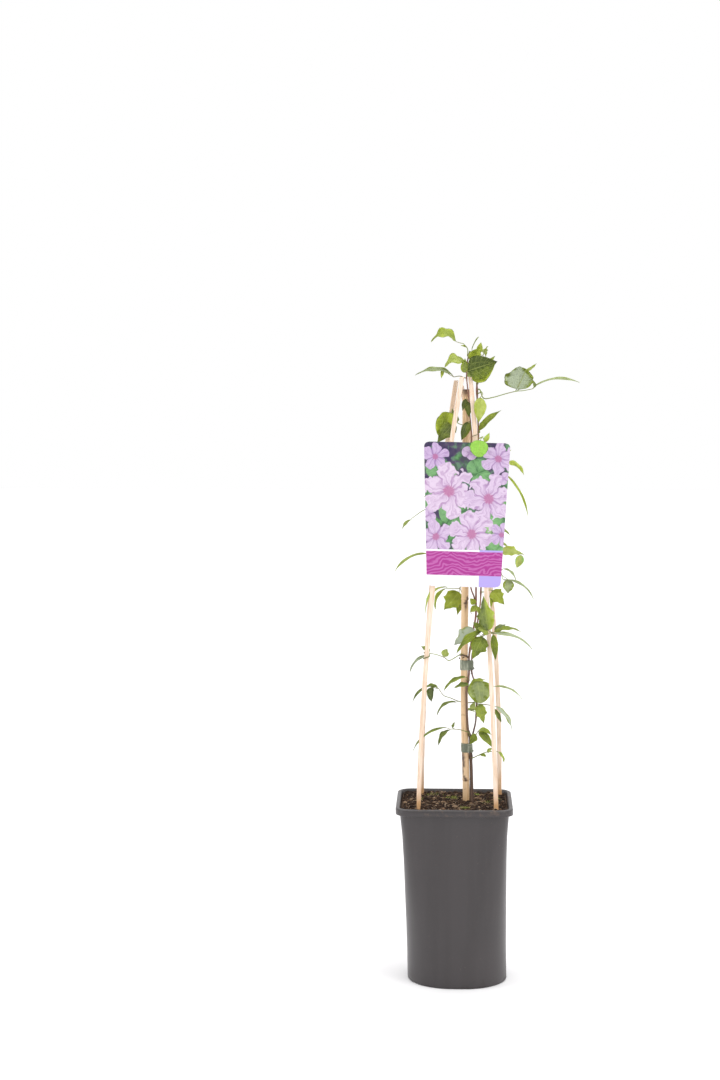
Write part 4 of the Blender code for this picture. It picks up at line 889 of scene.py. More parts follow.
def makeStems():
    skin = Skin()
    for number, name in enumerate(stems["routes"]):
        path, radii = stemLine(name)
        joints = [growth["axil"] for growth in growths.values() if growth["stem"] == name and growth["axil"] != "end"]
        if name in ("second", "third"):
            # rooted in the stem that it leaves
            path.insert(0, blend(path[0], atHeight(stemLine("leader")[0], path[0].z), 0.9))
            radii.insert(0, radii[0])
        fine, thick = smoothPath(path, 4), spread(radii, 4)
        for k, point in enumerate(fine):
            swell = sum(0.55 * math.exp(-((point.z / mm - z) / 1.7) ** 2) for z in joints)
            thick[k] *= 1 + min(0.75, swell) + 0.08 * wobble(point, 7 * mm, number)
        if name == "leader":
            thick[0:3] = [r * 1.25 for r in thick[0:3]]
        start = len(skin.points)

        def ribs(k, angle):
            return 1 + 0.07 * math.sin(6 * angle + k * 0.05) + 0.05 * wobble((k * 0.9, angle * 2, number), 1.0)

        skin.add(rodRows(fine, thick, stems["sides"], ribs), ring=True, ends=True)
        for i in range(start, len(skin.points)):
            skin.tones[i] = (max(0.0, min(1.0, (skin.points[i].z / mm - 285) / 120)) if name != "stub" else 0.0, 0.0)
    # dead leaf scraps and dry buds at the joints of the old wood
    draw = random.Random(5)
    for x, y, z, size in ((3.4, -4.6, 388, 2.0), (6.0, -5.9, 386.5, 1.9), (2.2, -3.4, 385, 1.5), (8.6, -6.2, 389, 1.7),
                          (15.5, -3.5, 369.5, 1.6), (16.5, -2.0, 367, 1.3), (15.0, -4.8, 268, 1.4), (14.6, -4.5, 262, 1.2),
                          (15.8, -5.0, 439, 1.1), (20.5, -7.2, 398, 1.1)):
        spot = Vector((x, y, z)) * mm
        for k in range(4):
            addCrumb(skin, draw, spot + Vector([draw.uniform(-0.9, 0.9) * mm for _ in range(3)]), size * 0.5 * mm, 0.0)
    skin.make("vineBrownStems", [vineBark], ["vine_stems"])


# Tape ties: a few turns of thin tape, puckered, with a knot

ties = {
    "wall": 0.42 * mm, "turns": 3, "points": 60, "bands": 9,
    "places": {"tie_lower": (272, 283, 9.0), "tie_upper": (371, 383, 4.0)},
}


def tieOutline(z, spreadOut):
    centre = atHeight(canePath, z)
    circles = [(centre.x, centre.y, cane["radius"])]
    for name in stems["routes"]:
        path, radii = stemLine(name)
        if path[0].z < z < path[-1].z:
            spot = atHeight(path, z)
            if (spot - centre).length < 13 * mm:
                circles.append((spot.x, spot.y, radiusAt(path, radii, z)))
    loop = []
    for k in range(ties["points"]):
        angle = 2 * math.pi * k / ties["points"]
        way = Vector((math.cos(angle), math.sin(angle)))
        x, y, radius = max(circles, key=lambda c: c[0] * way.x + c[1] * way.y + c[2])
        loop.append(Vector((x, y)) + way * (radius + spreadOut))
    return loop


def makeTie(name):
    low, high, seed = ties["places"][name]
    skin = Skin()
    tall = (high - low) * mm
    for turn in range(ties["turns"]):
        base = low * mm + tall * (0.02, 0.30, 0.16)[turn]
        size = tall * (0.62, 0.66, 0.60)[turn]
        rows = []
        for inside in (False, True):
            for band in range(ties["bands"]):
                share = band / (ties["bands"] - 1)
                share = 1 - share if inside else share
                z = base + size * share
                outline = tieOutline(z, 0.35 * mm + ties["wall"] * (0.45 * turn + (0 if inside else 0.5)))
                row = []
                for k, point in enumerate(outline):
                    angle = 2 * math.pi * k / ties["points"]
                    tilt = (0.35, -0.5, 0.2)[turn] * math.sin(angle + turn) * mm
                    pucker = 0.0 if inside else 0.16 * mm * wobble((k * 0.55, share * 1.6, turn), 1.0, seed)
                    way = Vector((math.cos(angle), math.sin(angle)))
                    spot = point + way * max(pucker, -0.1 * mm)
                    edge = 0.35 * mm * wobble((k * 0.35, 0, turn), 1.0, seed) * (1 if share in (0, 1) else 0.3)
                    row.append(Vector((spot.x, spot.y, z + tilt + edge)))
                rows.append(row)
        rows.append(rows[0])
        skin.add(list(reversed(rows)), ring=True)
    # the knot, low on the right
    middle = blend(low, high, 0.14) * mm
    side = max(tieOutline(middle, 0.6 * mm), key=lambda p: p.x - 0.7 * p.y)
    knot = Vector((side.x - 0.2 * mm, side.y - 0.2 * mm, middle))
    loop = [knot + Vector((math.cos(a) * 1.3, math.sin(a * 1.5) * 0.9, math.sin(a) * 1.1)) * mm
            for a in (k * math.pi / 6 for k in range(11))]
    skin.add(rodRows(loop, [0.8 * mm] * len(loop), 8), ring=True, ends=True)
    skin.make(name.replace("tie_l", "tieL").replace("tie_u", "tieU") + "Tape", [tyingTape], [name])


# Picture card: a thin printed sheet against the two front sticks

card = {
    "topWidth": 101.5 * mm, "bottomWidth": 86.5 * mm, "length": 169.5 * mm, "thick": 0.6 * mm, "corner": 6 * mm,
    "centreX": 8 * mm, "centreZ": 557.8 * mm, "roll": math.radians(-1.3), "gap": 0.3 * mm, "bow": 0.9 * mm,
    "across": 24, "up": 40,
    # share of the height: top of the strip, of the band, foot of the picture
    "stripTop": 0.078, "bandTop": 0.243, "pictureFoot": 0.256,
    "blockFrom": 0.705,
    # x and y from the card's foot centre in mm, radius, petals, turn, how pale
    "blossoms": ((-37, 152, 17, 5, 0.9, 0.2), (37, 151, 21, 6, 0.6, 0.5), (-20, 112, 33, 6, 0.3, 1.0), (27, 104, 30, 6, 0.85, 0.8),
                 (-34, 58, 21, 5, 2.0, 0.6), (8, 62, 28, 6, 1.35, 0.9), (43, 62, 15, 5, 0.1, 0.3)),
    "buds": ((-42, 84, 9.0, 2, 1.1), (3, 157, 9.5, 2, 0.5), (44, 128, 8.0, 2, 2.3)),
}

# One printed blossom. Place is in millimetres on the card
blossom, given, put = newGroup(
    "printedBlossom",
    (("Place", "Vector", None), ("Centre", "Vector", None), ("Radius", "Float", 20.0), ("Petals", "Float", 6.0),
     ("Turn", "Float", 0.0)), ("Mask", "Shade", "Eye"))
offset = addNode(blossom, "VectorMath", {0: given["Place"], 1: given["Centre"]}, operation="SUBTRACT").outputs[0]
bendNoise = addNode(blossom, "TexNoise", {"Vector": given["Place"], "Scale": 0.07, "Detail": 2.0}).outputs["Fac"]
bent = calc(blossom, "SUBTRACT", bendNoise, 0.5)
split = addNode(blossom, "SeparateXYZ", {0: offset})
angle = calc(blossom, "ADD", calc(blossom, "ARCTAN2", split.outputs["Y"], split.outputs["X"]), given["Turn"])
angle = calc(blossom, "ADD", angle, calc(blossom, "MULTIPLY", bent, 1.5))
distance = addNode(blossom, "VectorMath", {0: offset}, operation="LENGTH").outputs["Value"]
reach = calc(blossom, "DIVIDE", distance, given["Radius"])
petal = calc(blossom, "ABSOLUTE", calc(blossom, "COSINE", calc(blossom, "MULTIPLY", angle, calc(blossom, "MULTIPLY", given["Petals"], 0.5))))
edge = calc(blossom, "ADD", 0.5, calc(blossom, "MULTIPLY", calc(blossom, "POWER", petal, 0.6), 0.5))
edge = calc(blossom, "ADD", edge, calc(blossom, "MULTIPLY", bent, 0.25))
blossom.links.new(fade(blossom, calc(blossom, "SUBTRACT", edge, reach), -0.015, 0.02), put["Mask"])
# soft creases between the petals, a fold down each, fine veins
crease = calc(blossom, "SUBTRACT", 1.0, fade(blossom, petal, 0.0, 0.55))
ridge = fade(blossom, petal, 0.93, 1.0, 0.0, 0.3)
veins = addNode(blossom, "CombineXYZ", {"X": calc(blossom, "MULTIPLY", angle, 7.0), "Y": calc(blossom, "MULTIPLY", reach, 1.3)})
threads = addNode(blossom, "TexNoise", {"Vector": veins.outputs[0], "Scale": 1.6, "Detail": 3.0}).outputs["Fac"]
shade = calc(blossom, "ADD", calc(blossom, "MULTIPLY", crease, calc(blossom, "ADD", 0.25, bendNoise)), ridge)
shade = calc(blossom, "ADD", shade, calc(blossom, "MULTIPLY", calc(blossom, "SUBTRACT", threads, 0.45), 2.4))
blossom.links.new(calc(blossom, "ADD", shade, fade(blossom, reach, 0.1, 0.45, 0.45, 0.0), clamp=True), put["Shade"])
stamens = calc(blossom, "ADD", 0.06, calc(blossom, "MULTIPLY", threads, 0.28))
blossom.links.new(fade(blossom, calc(blossom, "SUBTRACT", stamens, reach), -0.03, 0.04), put["Eye"])


def cardMaterial():
    material, tree, shader, _ = newMaterial("printedCard", 0.38, 0.4)
    spot = addNode(tree, "Attribute", attribute_name="leafPlace").outputs["Vector"]
    spotParts = addNode(tree, "SeparateXYZ", {0: spot})
    x, y = spotParts.outputs["X"], spotParts.outputs["Y"]
    length = card["length"] / mm
    # out of focus behind the blossoms: violet shade, darkest at the upper left, and patches of green
    wide = addNode(tree, "TexNoise", {"Vector": spot, "Scale": 0.045, "Detail": 2.0, "Distortion": 0.8}).outputs["Fac"]
    small = addNode(tree, "TexNoise", {"Vector": spot, "Scale": 0.13, "Detail": 2.0}).outputs["Fac"]
    slope = calc(tree, "SUBTRACT", calc(tree, "MULTIPLY", y, 0.0016), calc(tree, "MULTIPLY", x, 0.0022))
    gloom = calc(tree, "SUBTRACT", calc(tree, "ADD", wide, 0.12), slope)
    picture = ramp(tree, gloom, ((0.24, (0.040, 0.028, 0.080)), (0.36, (0.075, 0.055, 0.105)), (0.46, (0.050, 0.115, 0.055)),
                                 (0.56, (0.095, 0.26, 0.085)), (0.70, (0.27, 0.45, 0.20))))
    picture = mixColour(tree, fade(tree, small, 0.5, 0.66, 0.0, 0.55), picture, (0.14, 0.30, 0.16))
    picture = mixColour(tree, fade(tree, small, 0.42, 0.30, 0.0, 0.6), picture, (0.055, 0.040, 0.075))
    for leafX, leafY, size, turn in ((-30, 136, 19, 0.6), (14, 134, 17, 1.2), (45, 84, 18, 0.2), (-10, 84, 24, 0.9),
                                     (24, 48, 17, 2.4), (-46, 106, 14, 1.7)):
        leaf = useGroup(tree, blossom, Place=spot, Centre=(leafX, leafY, 0), Radius=float(size), Petals=2.0, Turn=turn)
        tinted = mixColour(tree, leaf["Shade"], (0.20, 0.42, 0.17), (0.050, 0.15, 0.055))
        picture = mixColour(tree, calc(tree, "MULTIPLY", leaf["Mask"], 0.85), picture, tinted)
    for bloomX, bloomY, size, petals, turn, pale in [(*bud, 0.5) for bud in card["buds"]] + list(card["blossoms"]):
        bloom = useGroup(tree, blossom, Place=spot, Centre=(bloomX, bloomY, 0), Radius=float(size), Petals=float(petals),
                         Turn=turn)
        light = [blend(a, b, pale) for a, b in zip((0.52, 0.38, 0.60), (0.66, 0.54, 0.68))]
        dark = [blend(a, b, pale) for a, b in zip((0.26, 0.15, 0.36), (0.40, 0.24, 0.43))]
        lilac = mixColour(tree, bloom["Shade"], light, dark)
        lilac = mixColour(tree, calc(tree, "MULTIPLY", bloom["Eye"], 0.7 if petals > 2 else 0.0), lilac, (0.42, 0.12, 0.26))
        picture = mixColour(tree, bloom["Mask"], picture, lilac)
    # the band below: fine wavy lines of two magentas, then a white strip with a bare violet block
    swayed = calc(tree, "ADD", calc(tree, "MULTIPLY", y, 1.15), calc(tree, "MULTIPLY", wide, 26.0))
    swayed = calc(tree, "ADD", swayed, calc(tree, "MULTIPLY", calc(tree, "SINE", calc(tree, "MULTIPLY", x, 0.11)), 3.2))
    lines = fade(tree, calc(tree, "SINE", calc(tree, "MULTIPLY", swayed, 1.3)), -0.6, 0.9)
    band = mixColour(tree, lines, (0.36, 0.035, 0.245), (0.47, 0.115, 0.37))
    sideBlock = calc(tree, "GREATER_THAN", x, (card["blockFrom"] - 0.5) * card["bottomWidth"] / mm)
    strip = mixColour(tree, sideBlock, (0.78, 0.775, 0.84), (0.42, 0.345, 0.74))
    lower = mixColour(tree, calc(tree, "GREATER_THAN", y, card["stripTop"] * length), strip, band)
    whiteLine = calc(tree, "GREATER_THAN", y, card["bandTop"] * length)
    lower = mixColour(tree, whiteLine, lower, mixColour(tree, sideBlock, (0.78, 0.77, 0.82), (0.42, 0.345, 0.74)))
    whole = mixColour(tree, calc(tree, "GREATER_THAN", y, card["pictureFoot"] * length), lower, picture)
    tree.links.new(whole, shader.inputs["Base Color"])
    setBump(tree, shader, useGroup(tree, fineGrain, Place=spot, Scale=2.2)["Height"], 0.06, 0.0002)
    return material


def cardBackMaterial():
    material, tree, shader, place = newMaterial("cardBack", 0.5, 0.4)
    haze = useGroup(tree, blotches, Place=place, Scale=30.0, Low=0.4, High=0.7)["Mask"]
    tree.links.new(mixColour(tree, haze, (0.80, 0.80, 0.79), (0.72, 0.72, 0.73)), shader.inputs["Base Color"])
    setBump(tree, shader, useGroup(tree, fineGrain, Place=place, Scale=2200.0)["Height"], 0.1, 0.0002)
    return material


def makeCard():
    # the outline at each height: the corners are rounded off
    def halfAt(y):
        share = (y + card["length"] / 2) / card["length"]
        half = blend(card["bottomWidth"], card["topWidth"], share) / 2
        near = card["length"] / 2 - abs(y)
        if near < card["corner"]:
            half -= card["corner"] - math.sqrt(max(0.0, card["corner"] ** 2 - (card["corner"] - near) ** 2))
        return half

    low = stickAxis("stick_front_left", card["centreZ"] - card["length"] / 2)
    high = stickAxis("stick_front_left", card["centreZ"] + card["length"] / 2)
    lean = math.atan2(high.y - low.y, high.z - low.z)
    faceY = (low.y + high.y) / 2 - sticks["depth"] / 2 - card["gap"] - card["thick"] / 2
    rows, places = [], []
    ends = [k / 6 * card["corner"] for k in range(6)]
    steps = [-card["length"] / 2 + e for e in ends]
    steps += [blend(-card["length"] / 2 + card["corner"], card["length"] / 2 - card["corner"], k / card["up"])
              for k in range(card["up"] + 1)]
    steps += [card["length"] / 2 - e for e in reversed(ends)]
    for y in steps:
        half = halfAt(y)
        row, spots = [], []
        for side, count in ((-1, card["across"]), (1, card["across"])):
            for k in range(count):
                x = blend(-half, half, k / count) if side < 0 else blend(half, -half, k / count)
                bow = card["bow"] * ((x / half) ** 2 * 0.5 if half else 0) * (0.6 + 0.4 * math.sin(y * 25))
                turnX = x * math.cos(card["roll"]) - y * math.sin(card["roll"])
                turnY = x * math.sin(card["roll"]) + y * math.cos(card["roll"])
                thick = card["thick"] / 2 * side
                row.append(Vector((card["centreX"] + turnX, faceY + thick - bow + turnY * math.sin(lean),
                                   card["centreZ"] + turnY * math.cos(lean))))
                spots.append((x / mm, (y + card["length"] / 2) / mm, 0.0))
        rows.append(row)
        places.append(spots)
    skin = Skin()
    skin.add(rows, ring=True, ends=True, places=places, marks=[0] * card["across"] + [1] * card["across"])
    piece = skin.make("pictureCard", [cardMaterial(), cardBackMaterial()], ["picture_card"])
    piece.data.set_sharp_from_angle(angle=math.radians(30))


makeCard()
print("card")


# Leaves. Each entry is one leafy growth. "stem" and "axil" say what carries it and how high, "stalk" is its route.
# A leaflet: stalk point it leaves from, base, tip, width, the way its upper side faces, arch, form. Millimetres.
# "tone" runs from dark 0 to pale 1, "grey" is the share of painted sheen, a pale grey patch standing for the gloss of a
# blade. "looks" gives a leaflet's own tone, grey and fold in degrees, and where a fourth number stands, how much
# painted shade falls on one half of the blade and painted light on the other
growths = {
    "leaf_foot_right": {
        "stem": "leader", "axil": 266, "tone": 0.5, "grey": 0.1,
        "stalk": [(24, -12, 270), (33, -24, 276), (44, -27, 278), (47, -26, 277)],
        "leaflets": [
            (0, (28, -16, 272), (34, -20, 270), 5, (0, -1, 0.6), 1, "ovate"),
            (1, (35, -24, 276), (41, -28, 282), 5, (0, -1, 0.6), 1, "ovate"),
            (3, (48, -26, 277), (55, -24, 262), 6, (1, -0.6, 0.4), 2, "ovate"),
        ],
    },
    "leaf_low_left": {
        "stem": "leader", "axil": 293, "tone": 0.3, "grey": 0.05,
        "stalk": [(13, -10, 297), (9, -12, 299), (0, -11, 301), (-9, -9, 301)],
        "leaflets": [
            (3, (-10, -9, 300), (-23, -16, 282), 8, (-0.4, -0.5, 0.8), 4, "ovate"),
            (2, (-6, -9, 302), (-3, -3, 309), 4, (-0.6, -0.8, 0.2), 1, "ovate"),
            (3, (-14, -9, 303), (-54, -14, 274), 5, (-0.3, -0.5, 0.8), 9, "narrow"),
        ],
    },
    "leaf_low_front": {
        "stem": "second", "axil": 290, "tone": 0.42, "grey": 0.05,
        "stalk": [(22, -8, 295), (24, -12, 299)],
        "leaflets": [
            (0, (20, -12, 296), (14, -15, 284), 9, (0, -1, -0.6), 2, "ovate"),
            (1, (25, -14, 301), (40, -22, 296), 8, (0, -0.6, 0.8), 4, "ovate"),
            (1, (25, -14, 299), (43, -26, 280), 9, (0, -1, 0.6), 4, "ovate"),
        ],
    },
    "leaf_low_right": {
        "stem": "second", "axil": 330, "tone": 0.32, "grey": 0.1,
        "looks": {1: (0.5, 0.9, 12)},
        "stalk": [(32, -4, 330), (41, -6, 329), (44, -6, 328)],
        "leaflets": [
            (0, (26, -8, 331), (31, -12, 308), 12, (0, -1, 0), 2, "lobed"),
            (2, (45, -5, 328), (65, -2, 298), 9, (0.4, -0.5, 0.8), 5, "ovate"),
            (1, (43, -4, 325), (52, 4, 307), 6, (0, -1, 0.6), 2, "ovate"),
        ],
    },
    "leaf_low_back": {
        "stem": "second", "axil": 315, "tone": 0.4,
        "stalk": [(22, 9, 318), (18, 16, 319)],
        "leaflets": [
            (1, (17, 18, 319), (4, 34, 309), 11, (-0.3, 0.6, 0.8), 4, "lobed"),
            (1, (19, 18, 320), (29, 36, 310), 10, (0.3, 0.6, 0.8), 4, "ovate"),
            (1, (18, 19, 320), (21, 30, 330), 8, (0, 1, 0.2), 2, "ovate"),
        ],
    },
    "leaf_arch_left": {
        "stem": "second", "axil": 332, "tone": 0.3, "grey": 0.1,
        "stalk": [(18, 6, 331), (10, 9, 330), (0, 9, 332), (-8, 5, 336), (-17, 0, 340), (-23, -12, 350)],
        "leaflets": [
            (2, (-2, 8, 331), (-25, 4, 315), 5, (-0.3, -0.5, 0.8), 7, "narrow"),
            (5, (-31, -14, 352), (-31, -20, 335), 10, (-0.5, -0.8, 0.3), 2, "ovate"),
            (5, (-24, -12, 351), (-39, -19, 353), 7, (0, -0.6, 0.8), 2, "ovate"),
            (5, (-28, -16, 354), (-54, -26, 335), 5, (-0.3, -0.5, 0.8), 7, "narrow"),
        ],
    },
    "leaf_crinkled": {
        "stem": "leader", "axil": 351, "tone": 0.45, "grey": 0.1,
        "looks": {0: (0.42, 0.3, 14)},
        "stalk": [(14, -13, 355)],
        "leaflets": [
            (0, (23, -14, 359), (27, -22, 334), 29, (0, -1, 0.6), 2, "broad"),
            (0, (15, -13, 356), (33, -6, 360), 8, (0, -0.6, 0.8), 2, "ovate"),
            (0, (13, -14, 355), (-5, -17, 351), 8, (0, -0.6, 0.8), 2, "ovate"),
        ],
    },
    "leaf_arch_front": {
        "stem": "leader", "axil": 359, "tone": 0.4, "grey": 0.05,
        "stalk": [(11, -10, 363)],
        "leaflets": [
            (0, (9, -12, 364), (-17, -14, 347), 6, (-0.2, -0.6, 0.8), 6, "narrow"),
        ],
    },
    "leaf_thin_right": {
        "stem": "second", "axil": 348, "tone": 0.5, "grey": 0.6,
        "stalk": [(32, 2, 350), (42, 8, 350)],
        "leaflets": [
            (1, (44, 10, 350), (77, 14, 334), 4, (0.2, -0.5, 0.8), 6, "narrow"),
        ],
    },
    "leaf_tie_left": {
        "stem": "stub", "axil": "end", "tone": 0.5, "grey": 0.2,
        "looks": {0: (0.6, 0.2, 12), 1: (0.25, 0.6, 15)},
        "stalk": [(-10, -15, 384), (-16, -20, 388), (-25, -25, 392), (-33, -28, 394)],
        "leaflets": [
            (1, (-17, -20, 389), (-13, -14, 398), 9, (0, -1, 0), 1, "ovate"),
            (3, (-35, -28, 392), (-57, -30, 371), 5, (-0.3, -0.5, 0.8), 6, "narrow"),
            (3, (-34, -28, 395), (-44, -22, 402), 7, (0, -0.6, 0.8), 1, "ovate"),
        ],
    },
    "leaf_star_left": {
        "stem": "leader", "axil": 397, "tone": 0.38, "grey": 0.05,
        "looks": {0: (0.32, 0, 14), 1: (0.25, 0.95, 10), 2: (0.28, 0.05, 18)},
        "stalk": [(21, -12, 409), (27, -24, 414), (30, -32, 419)],
        "leaflets": [
            (2, (27, -33, 421), (-2, -30, 394), 11, (0, -0.6, 0.8), 5, "ovate"),
            (1, (19, -20, 422), (-5, -16, 402), 16, (-0.2, -0.9, 0.2), 4, "lobed"),
            (2, (29, -32, 414), (17, -34, 388), 19, (0, -1, 0.6), 4, "lobed"),
            (2, (28, -34, 421), (17, -36, 432), 11, (0, -1, 0.6), 1, "ovate"),
        ],
    },
    "leaf_star_right": {
        "stem": "second", "axil": 407, "tone": 0.45, "grey": 0.05,
        # leaflet 0: painted shade on one half, painted light on the other
        "looks": {0: (0.34, 0.1, 34, 0.26), 1: (0.2, 0.2, 12), 3: (0.55, 0.7, 10), 4: (0.25, 0.0, 20), 5: (0.6, 0.15, 12)},
        "stalk": [(29, 10, 410), (35, -10, 415), (41, -28, 418), (38, -39, 421)],
        "leaflets": [
            (3, (35, -41, 423), (29, -37, 464), 17, (0, -1, 0), 5, "lobed"),
            (2, (43, -30, 420), (56, -20, 428), 8, (0, -1, 0.6), 2, "ovate"),
            (3, (42, -38, 421), (74, -30, 420), 7, (0, -0.6, 0.8), 6, "ovate"),
            (3, (41, -39, 419), (87, -42, 401), 8, (0.4, -0.5, 0.8), 8, "ovate"),
            (3, (41, -40, 418), (44, -40, 387), 9, (0, -1, 0), 4, "ovate"),
            (3, (35, -42, 419), (22, -44, 426), 13, (0, -0.6, 0.8), 2, "ovate"),
        ],
    },
    "leaf_bright_left": {
        "stem": "third", "axil": 487, "tone": 0.66,
        "stalk": [(7, 12, 476), (2, 13, 468), (-5, 10, 467), (-13, 4, 468)],
        "leaflets": [
            (1, (1, 11, 463), (-17, 12, 441), 20, (0, -1, 0), 4, "lobed"),
            (1, (5, 12, 460), (-1, 11, 435), 10, (0, -1, 0), 2, "ovate"),
            (3, (-15, 3, 468), (-27, -2, 443), 6, (-0.6, -0.6, 0.5), 6, "narrow"),
            (3, (-14, 3, 470), (-39, -14, 440), 6, (-0.6, -0.6, 0.5), 11, "narrow"),
        ],
    },
    "leaf_small_mid": {
        "stem": "leader", "axil": 447, "tone": 0.55, "grey": 0.05,
        "stalk": [(22, -11, 449)],
        "leaflets": [
            (0, (21, -13, 449), (14, -13, 441), 8, (0, -1, 0), 1, "ovate"),
            (0, (23, -13, 448), (25, -15, 439), 5, (0, -1, 0), 1, "ovate"),
            (0, (20, -13, 451), (14, -12, 458), 8, (0, -1, 0), 1, "ovate"),
        ],
    },
    "leaf_light_right": {
        "stem": "second", "axil": 464, "tone": 0.6, "grey": 0.05,
        "stalk": [(34, 2, 466), (40, 2, 466)],
        "leaflets": [
            (1, (41, 1, 466), (55, -3, 449), 15, (0, -1, 0), 4, "lobed"),
            (1, (40, 0, 465), (39, -4, 446), 5, (0, -1, 0), 1, "narrow"),
        ],
    },
    "leaf_grey_right": {
        "stem": "second", "axil": 481, "tone": 0.45, "grey": 0.5,
        "stalk": [(36, -4, 485), (46, -8, 490), (50, -9, 491)],
        "leaflets": [
            (2, (53, -10, 493), (68, -14, 479), 5, (0.4, -0.5, 0.8), 4, "narrow"),
            (2, (53, -10, 480), (89, -12, 457), 5, (0.4, -0.5, 0.8), 8, "narrow"),
            (1, (59, -10, 480), (59, -8, 463), 13, (0, -0.8, -0.6), 2, "ovate"),
        ],
    },
    "leaf_edge_right": {
        "stem": "second", "axil": 517, "tone": 0.72, "grey": 0.2,
        "stalk": [(37, 2, 520), (46, 0, 518)],
        "leaflets": [
            (1, (49, -1, 512), (78, -4, 509), 11, (0, -1, 0.6), 4, "lobed"),
            (1, (75, -4, 508), (69, -3, 493), 10, (0, -1, 0.6), 1, "ovate"),
            (0, (41, 2, 526), (59, 0, 518), 7, (0, -0.6, 0.8), 2, "ovate"),
        ],
    },
    "leaf_edge_upper": {
        "stem": "second", "axil": 540, "tone": 0.45, "grey": 0.2,
        "stalk": [(39, 6, 544)],
        "leaflets": [
            (0, (43, 6, 542), (61, 4, 532), 8, (0, -0.6, 0.8), 2, "ovate"),
            (0, (42, 8, 547), (54, 22, 558), 10, (0.5, 0.5, 0.7), 2, "ovate"),
            (0, (40, 9, 542), (43, 26, 524), 10, (0.2, 0.8, 0.5), 2, "lobed"),
        ],
    },
    "leaf_top_right": {
        "stem": "second", "axil": 612, "tone": 0.58, "grey": 0.05,
        "stalk": [(45, -8, 617), (52, -9, 618)],
        "leaflets": [
            (1, (56, -9, 618), (77, -12, 604), 11, (0.4, -0.5, 0.8), 4, "ovate"),
            (1, (56, -8, 604), (82, -9, 554), 5, (0.6, -0.6, 0.4), 6, "narrow"),
            (0, (50, -6, 627), (62, -4, 633), 8, (0, -1, 0.6), 2, "ovate"),
        ],
    },
    "leaf_left_tendril": {
        "stem": "third", "axil": 568, "tone": 0.5, "grey": 0.2,
        "stalk": [(-4, 12, 569), (-22, 4, 566), (-40, 0, 562), (-55, -2, 552)],
        "leaflets": [
            (3, (-57, -2, 550), (-67, -3, 539), 5, (-0.4, -0.6, 0.6), 1, "ovate"),
            (1, (-26, 0, 564), (-39, -6, 552), 7, (0, -0.6, 0.8), 2, "ovate"),
            (1, (-29, 2, 571), (-41, -4, 578), 7, (0, -0.6, 0.8), 1, "ovate"),
            (0, (-8, 14, 572), (-17, 26, 584), 11, (-0.3, 0.8, 0.5), 4, "lobed"),
        ],
    },
    "leaf_left_long": {
        "stem": "third", "axil": 507, "tone": 0.5, "grey": 0.15,
        "stalk": [(0, 14, 507), (-18, 6, 509), (-34, 0, 509)],
        "leaflets": [
            (2, (-38, -1, 510), (-76, -6, 488), 6, (-0.2, -0.5, 0.8), 8, "narrow"),
            (1, (-21, 8, 506), (-31, 14, 491), 10, (-0.4, 0.6, 0.6), 2, "ovate"),
            (0, (-3, 16, 510), (-11, 30, 526), 11, (-0.3, 0.8, 0.4), 2, "lobed"),
        ],
    },
    "leaf_back_mid": {
        "stem": "third", "axil": 484, "tone": 0.4,
        "stalk": [(14, 12, 486), (16, 20, 489)],
        "leaflets": [
            (1, (14, 22, 488), (-3, 40, 481), 13, (-0.3, 0.6, 0.8), 5, "lobed"),
            (1, (19, 22, 490), (36, 40, 482), 13, (0.3, 0.6, 0.8), 5, "ovate"),
            (1, (16, 23, 491), (18, 38, 504), 11, (0, 0.9, 0.5), 4, "ovate"),
        ],
    },
    "leaf_back_high": {
        "stem": "third", "axil": 600, "tone": 0.4,
        "stalk": [(16, 12, 604), (17, 23, 608)],
        "leaflets": [
            (1, (16, 25, 609), (1, 42, 603), 13, (-0.3, 0.6, 0.8), 5, "lobed"),
            (1, (20, 26, 609), (34, 43, 599), 13, (0.3, 0.6, 0.8), 5, "lobed"),
            (1, (18, 26, 612), (18, 38, 629), 11, (0, 0.9, 0.4), 4, "ovate"),
        ],
    },
    "leaf_fan_left": {
        "stem": "third", "axil": 659, "tone": 0.45,
        "looks": {0: (0.5, 0, 14), 1: (0.12, 0.05, 12)},
        "stalk": [(6, -8, 662), (0, -7, 664), (-4, -4, 667)],
        "leaflets": [
            (2, (-10, 0, 677), (-21, -1, 647), 24, (0, -1, 0), 4, "broad"),
            (2, (-5, -3, 664), (-26, -8, 641), 19, (0, -1, 0.3), 4, "lobed"),
            (1, (-2, -5, 666), (-8, 6, 682), 9, (-0.3, 0.8, 0.4), 2, "ovate"),
        ],
    },
    "leaf_dark_mid": {
        "stem": "third", "axil": 664, "tone": 0.12,
        "stalk": [(13, -8, 667)],
        "leaflets": [
            (0, (11, -9, 666), (3, -9, 644), 11, (0, -1, 0), 2, "ovate"),
        ],
    },
    "leaf_bundle": {
        "stem": "third", "axil": 689, "tone": 0.2, "grey": 0.05,
        "stalk": [(10, -8, 691)],
        "leaflets": [
            (0, (10, -9, 690), (12, -9, 671), 8, (0, -1, 0), 1, "ovate"),
            (0, (8, -8, 693), (4, -9, 679), 6, (0, -1, 0), 1, "ovate"),
        ],
    },
    "leaf_pendant": {
        "stem": "leader", "axil": 700, "tone": 0.68, "grey": 0.1,
        "looks": {0: (0.66, 0.12, 8)},
        "stalk": [(26, -10, 702), (28, -15, 699)],
        "leaflets": [
            (1, (25, -17, 695), (23, -20, 665), 15, (0, -1, 0), 2, "ovate"),
        ],
    },
    "leaf_dark_right": {
        "stem": "leader", "axil": 654, "tone": 0.35, "grey": 0.05,
        "stalk": [(24, -9, 657)],
        "leaflets": [
            (0, (24, -10, 656), (50, -10, 680), 9, (-0.3, -0.9, 0.5), 4, "ovate"),
        ],
    },
    "leaf_over_label": {
        "stem": "leader", "axil": 647, "tone": 0.95,
        "looks": {0: (1.1, 0, 7), 1: (0.8, 0, 7)},
        "stalk": [(28, -14, 649), (28, -22, 649), (26, -26, 647)],
        "leaflets": [
